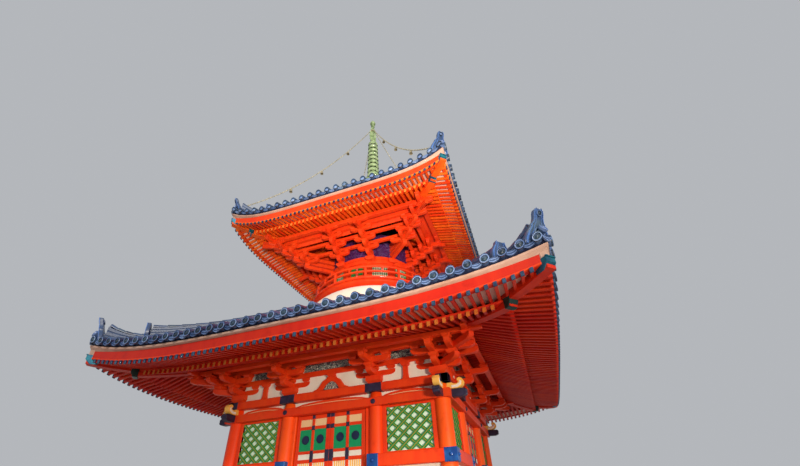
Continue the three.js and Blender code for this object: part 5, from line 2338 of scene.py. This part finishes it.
    def chains(self) -> None:
        """Makes the four hanging chains of small links, with three bells on each."""
        torus = {"major_segments": 10, "minor_segments": 4, "major_radius": 0.5, "minor_radius": 0.13}
        link = Form.taken(primitive(bpy.ops.mesh.primitive_torus_add, **torus)).scaled(0.100, 0.040, 0.070)
        fine = self._strand(np.linspace(0.012, 0.995, 600))
        way = np.concatenate(([0], np.cumsum(np.linalg.norm(np.diff(fine, axis=0), axis=1))))
        count = int(way[-1] / self.link)

        def at(link_number: float) -> Points:
            """The place on the chain at a number of links."""
            return np.array(
                [np.interp(way[-1] * link_number / count, way, fine[:, axis]) for axis in range(3)]
            )

        forms = []
        for k in range(count):
            ahead = Vector(at(k + 1) - at(k + 0.5)).to_track_quat("X", "Z").to_matrix().to_4x4()
            forms.append(link.placed(ahead @ Matrix.Rotation(QUARTER * (k % 2), 4, "X")).moved(*at(k + 0.5)))
        clapper = [(-0.02, -0.20), (0.02, -0.20), (0.004, -0.12), (-0.004, -0.12)]
        for out in (0.75, 1.41, 2.08):
            place = self._strand(np.array((out - self.chain_top[0]) / (self.chain_end - self.chain_top[0])))
            forms.append(bell(0.055, 0.13).moved(*(place - (0, 0, 0.035))).painted(1))
            forms.append(plate(clapper, 0.004).moved(*(place - (0, 0, 0.02))).painted(1))
        form = joined([ring(0.105, 0.0553, 15.175, 15.225, 0.006, 16), on_four_sides(*forms)])
        self.show("hanging_chains", form, "chain_metal bell_metal", ["finial_chains"], Slot.BRONZE)

    def build(self) -> None:
        """Makes the whole finial."""
        self.base()
        self.spire()
        self.chains()


# The base


@dataclass
class StoneBase(Assembly):
    """The granite podium of slabs with its steps, and the plaster mound on it.

    Attributes:
        half: Half the podium's width.
        top: Height of the podium.
        cap: Thickness of its cap stones.
        border: Width of its cap stones.
        joint: Width of a joint.
    """

    half: float = 4.250
    top: float = 0.450
    cap: float = 0.130
    border: float = 0.45
    joint: float = 0.006

    def _slab(self, low: Place, high: Place) -> Form:
        """One stone with a shade of its own."""
        gap = (self.joint / 2, self.joint / 2, 0)
        return span([a + g for a, g in zip(low, gap)], [b - g for b, g in zip(high, gap)], 0.008).varied()

    def podium(self) -> None:
        """Makes the cap stones, the paving inside them, the facing slabs and the steps."""
        half, top, border, under = self.half, self.top, self.border, self.top - self.cap
        edges = np.linspace(-half, half - border, 10)
        stones = [self._slab((a, -half, under), (b, -half + border, top)) for a, b in zip(edges, edges[1:])]
        face = half - 0.05
        facing = np.linspace(-face, face, 8)
        stones += [self._slab((a, -face, 0), (b, -face + 0.2, under)) for a, b in zip(facing, facing[1:])]
        core = span((-face + 0.1, -face + 0.1, 0), (face - 0.1, face - 0.1, top - 0.05), 0.004)
        grid = np.linspace(-half + border, half - border, 9)
        cells = list(zip(grid, grid[1:]))
        paving = [
            self._slab((a, c, top - 0.10), (b, d, top - 0.001))
            for a, b in cells for c, d in cells if max(abs(a), abs(b), abs(c), abs(d)) > 2.9
        ]
        steps = [
            self._slab((a, -face - 0.3 * n, 0.15 * (2 - n)), (b, -face, 0.15 * (3 - n)))
            for n in (1, 2) for a, b in ((-1.15, -0.2), (-0.2, 0.5), (0.5, 1.15))
        ]
        form = joined([on_four_sides(*stones), core, *paving, *steps])
        self.show("stone_podium", form, "granite", ["podium"], Slot.STONE)

    def mound(self) -> None:
        """Makes the rounded plaster mound."""
        low = self.top + 0.0003
        arc = [(2.72 + 0.23 * math.cos(a), 0.50 + 0.15 * math.sin(a)) for a in np.linspace(0, QUARTER, 8)]
        form = squared([(0, low), (2.95, low), *arc, (0, 0.65)])
        self.show("rounded_mound", form, "plaster", ["plaster_mound"], Slot.PLASTER)

    def build(self) -> None:
        """Makes the whole base."""
        self.podium()
        self.mound()


@dataclass
class Veranda(Assembly):
    """The boarded veranda on its posts, its wooden steps and the floor within.

    Attributes:
        half: Half the veranda's width.
        inner: Distance at which its boards begin.
        top: Its height.
        board: Width of a board.
        foot: Foot of its posts.
    """

    half: float = 3.300
    inner: float = 2.300
    top: float = 1.130
    board: float = 0.165
    foot: float = 0.4503

    def deck(self) -> None:
        """Makes the boards outwards, the hip boards, the edge beams and the posts."""
        half, wide = self.half, self.board
        count = int(half / wide)
        forms = []
        for x in [k * wide for k in range(-count, count + 1)]:
            start = max(self.inner, abs(x) + wide / 2 + 0.02)
            if half - start > 0.05:
                board = stick((wide - 0.006, half - start, 0.05), 0.005)
                forms.append(board.moved(x, -half, self.top - 0.05).varied())
        hip = stick((0.15, (half - self.inner) * ROOT2, 0.048), 0.005)
        forms.append(hip.moved(0, -half * ROOT2 + 0.075, self.top - 0.049).turned(QUARTER / 2))
        forms += [span((x - 0.05, -3.07, 0.96), (x + 0.05, -2.42, 1.079)) for x in (-2.2, -0.9, 0.9, 2.2)]
        places = (-3.13, -1.565, 0, 1.565)
        for x in places:
            post = span((x - 0.065, -3.195, self.foot), (x + 0.065, -3.065, 0.955), 0.014)
            forms.append(post.varied().painted(1))
        for x in places:
            forms.append(span((x - 0.13, -3.26, self.foot), (x + 0.13, -3.0, 0.475), 0.010).painted(2))
        form = joined([on_four_sides(*forms), ring(3.195, 3.065, 0.95, 1.08, 0.010).painted(1)])
        self.show("veranda_deck", form, "timber_out timber_up granite", ["veranda"], Slot.TIMBER)

    def steps(self) -> None:
        """Makes the wooden steps between their cheeks."""
        rise, tread, start = (self.top - 0.45) / 4, 0.23, -self.half - 0.0003
        forms = []
        for k in range(3):
            top = self.top - rise * (k + 1)
            step = span(
                (-0.88, start - tread * (k + 1) - 0.01, top - 0.045), (0.88, start - tread * k, top), 0.008,
            )
            forms.append(step.varied())
        outline = [(0, self.foot), (0.72, self.foot), (0.72, 0.56), (0, self.top - 0.02)]
        cheek = plate(outline, 0.06, 0.008).turned(-QUARTER).moved(0, start)
        form = joined([*forms, cheek.moved(0.9), cheek.moved(-0.9)])
        self.show("wooden_flight", form, "timber_out", ["wooden_steps"], Slot.TIMBER)

    def floor(self) -> None:
        """Makes the floor boards within."""
        end = 2.195
        edges = np.linspace(-end, end, 19)
        boards = [
            span((a + 0.002, -end, 1.19), (b - 0.002, end, 1.25), 0.004).varied()
            for a, b in zip(edges, edges[1:])
        ]
        self.show("floor_boards", joined(boards), "timber_out", ["floor"], Slot.TIMBER)

    def build(self) -> None:
        """Makes all the woodwork of the floor."""
        self.deck()
        self.steps()
        self.floor()


# The picture


@dataclass
class Studio:
    """The floor, the soft lights and the camera at the photograph's place.

    Attributes:
        spot: The camera's place.
        yaw: Its turn from the +Y direction, towards -X, in degrees.
        pitch: Its upward tilt in degrees.
        roll: Its roll in degrees.
        lens: Its focal length in millimetres on a sensor 36 mm wide.
        shift: How far the picture is cut off centre, as shares of its width.
    """

    spot: tuple[float, float, float] = (3.749, -9.098, 1.649)
    yaw: float = 19.426
    pitch: float = 35.754
    roll: float = -2.184
    lens: float = 16.487
    shift: tuple[float, float] = (0.01346, 0.02405)

    def floor(self) -> None:
        """Lays the pale floor."""
        bpy.ops.object.select_all(action="DESELECT")
        bpy.ops.mesh.primitive_plane_add(size=240, location=(0, 0, -0.004))
        plane = bpy.context.object
        plane.name = "studio_floor"
        finish = Finish("studio_floor_paint")
        plane.data.materials.append(finish.done((0.52, 0.51, 0.49), 0.9))

    def camera(self) -> None:
        """Sets the camera up."""
        yaw, pitch, roll = (math.radians(angle) for angle in (self.yaw, self.pitch, self.roll))
        ahead = Vector((-math.sin(yaw) * math.cos(pitch), math.cos(yaw) * math.cos(pitch), math.sin(pitch)))
        right = Vector((math.cos(yaw), math.sin(yaw), 0))
        up = right.cross(ahead)
        side = math.cos(roll) * right + math.sin(roll) * up
        top = math.cos(roll) * up - math.sin(roll) * right
        eye = bpy.data.objects.new("camera", bpy.data.cameras.new("camera"))
        bpy.context.scene.collection.objects.link(eye)
        eye.matrix_world = Matrix.Translation(self.spot) @ Matrix((side, top, -ahead)).transposed().to_4x4()
        eye.data.lens = self.lens
        eye.data.sensor_width = 36
        eye.data.shift_x, eye.data.shift_y = self.shift
        eye.data.clip_end = 500
        bpy.context.scene.camera = eye

    def _lamp(
        self, name: str, kind: str, energy: float, colour: Colour, place: Sequence[float],
        aim: Sequence[float],
    ) -> bpy.types.Light:
        """Hangs one light.

        Args:
            name: Its name.
            kind: Its type.
            energy: Its strength.
            colour: Its colour.
            place: Where it hangs.
            aim: The place that it looks at.

        Returns:
            The light.
        """
        light = bpy.data.lights.new(name, kind)
        light.energy = energy
        light.color = colour
        lamp = bpy.data.objects.new(name, light)
        bpy.context.scene.collection.objects.link(lamp)
        lamp.location = place
        lamp.rotation_euler = (Vector(aim) - Vector(place)).to_track_quat("-Z", "Y").to_euler()
        return light

    def lights(self) -> None:
        """Hangs a warm soft sun, a broad low light, a spot on the upper eaves, and an even pale sky."""
        world = bpy.data.worlds.new("studio_sky")
        world.use_nodes = True
        world.node_tree.nodes["Background"].inputs[0].default_value = (0.88, 0.91, 0.96, 1)
        world.node_tree.nodes["Background"].inputs[1].default_value = 0.52
        scene = bpy.context.scene
        scene.world = world
        scene.view_settings.view_transform = "Standard"
        self._lamp("sun", "SUN", 1.9, (1.0, 0.93, 0.82), (7.5, -10, 7.5), (0, 0, 0)).angle = math.radians(8)
        for name, energy, place, aim, cone in (
            ("low_light", 11500, (14.0, -15.5, 1.7), (1.2, -2.0, 1.4), 26),
            ("eave_light", 12500, (6.5, -13.0, 1.0), (0.2, -1.6, 9.4), 30),
        ):
            spot = self._lamp(name, "SPOT", energy, (1.0, 0.86, 0.68), place, aim)
            spot.spot_size = math.radians(cone)
            spot.spot_blend = 0.7
            spot.shadow_soft_size = 1.2

    def build(self) -> None:
        """Makes the whole studio."""
        self.floor()
        self.camera()
        self.lights()


def main() -> None:
    """Loads the frame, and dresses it."""
    logging.basicConfig(level=logging.INFO, format="%(message)s", stream=sys.stdout)
    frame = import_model()
    bpy.ops.object.select_all(action="DESELECT")
    palette = {name: finish.made() for name, finish in FINISHES.items()}
    for assembly in (
        Studio(),
        StoneBase(palette),
        Veranda(palette),
        PlasterWalls(palette, frame["nodes"]),
        TimberFrame(palette),
        LatticeWindow(palette),
        PanelledDoors(palette),
        LowerBrackets(palette),
        EaveWork(palette, Storey.LOWER, LOWER_LINE),
        EaveWork(palette, Storey.UPPER, UPPER_LINE),
        TiledRoof(palette, Storey.LOWER, LOWER_LINE),
        TiledRoof(palette, Storey.UPPER, UPPER_LINE, ridge_head=0.55),
        RoundStorey(palette),
        UpperBrackets(palette),
        Finial(palette),
    ):
        assembly.build()
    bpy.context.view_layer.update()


if __name__ == "__main__":
    main()
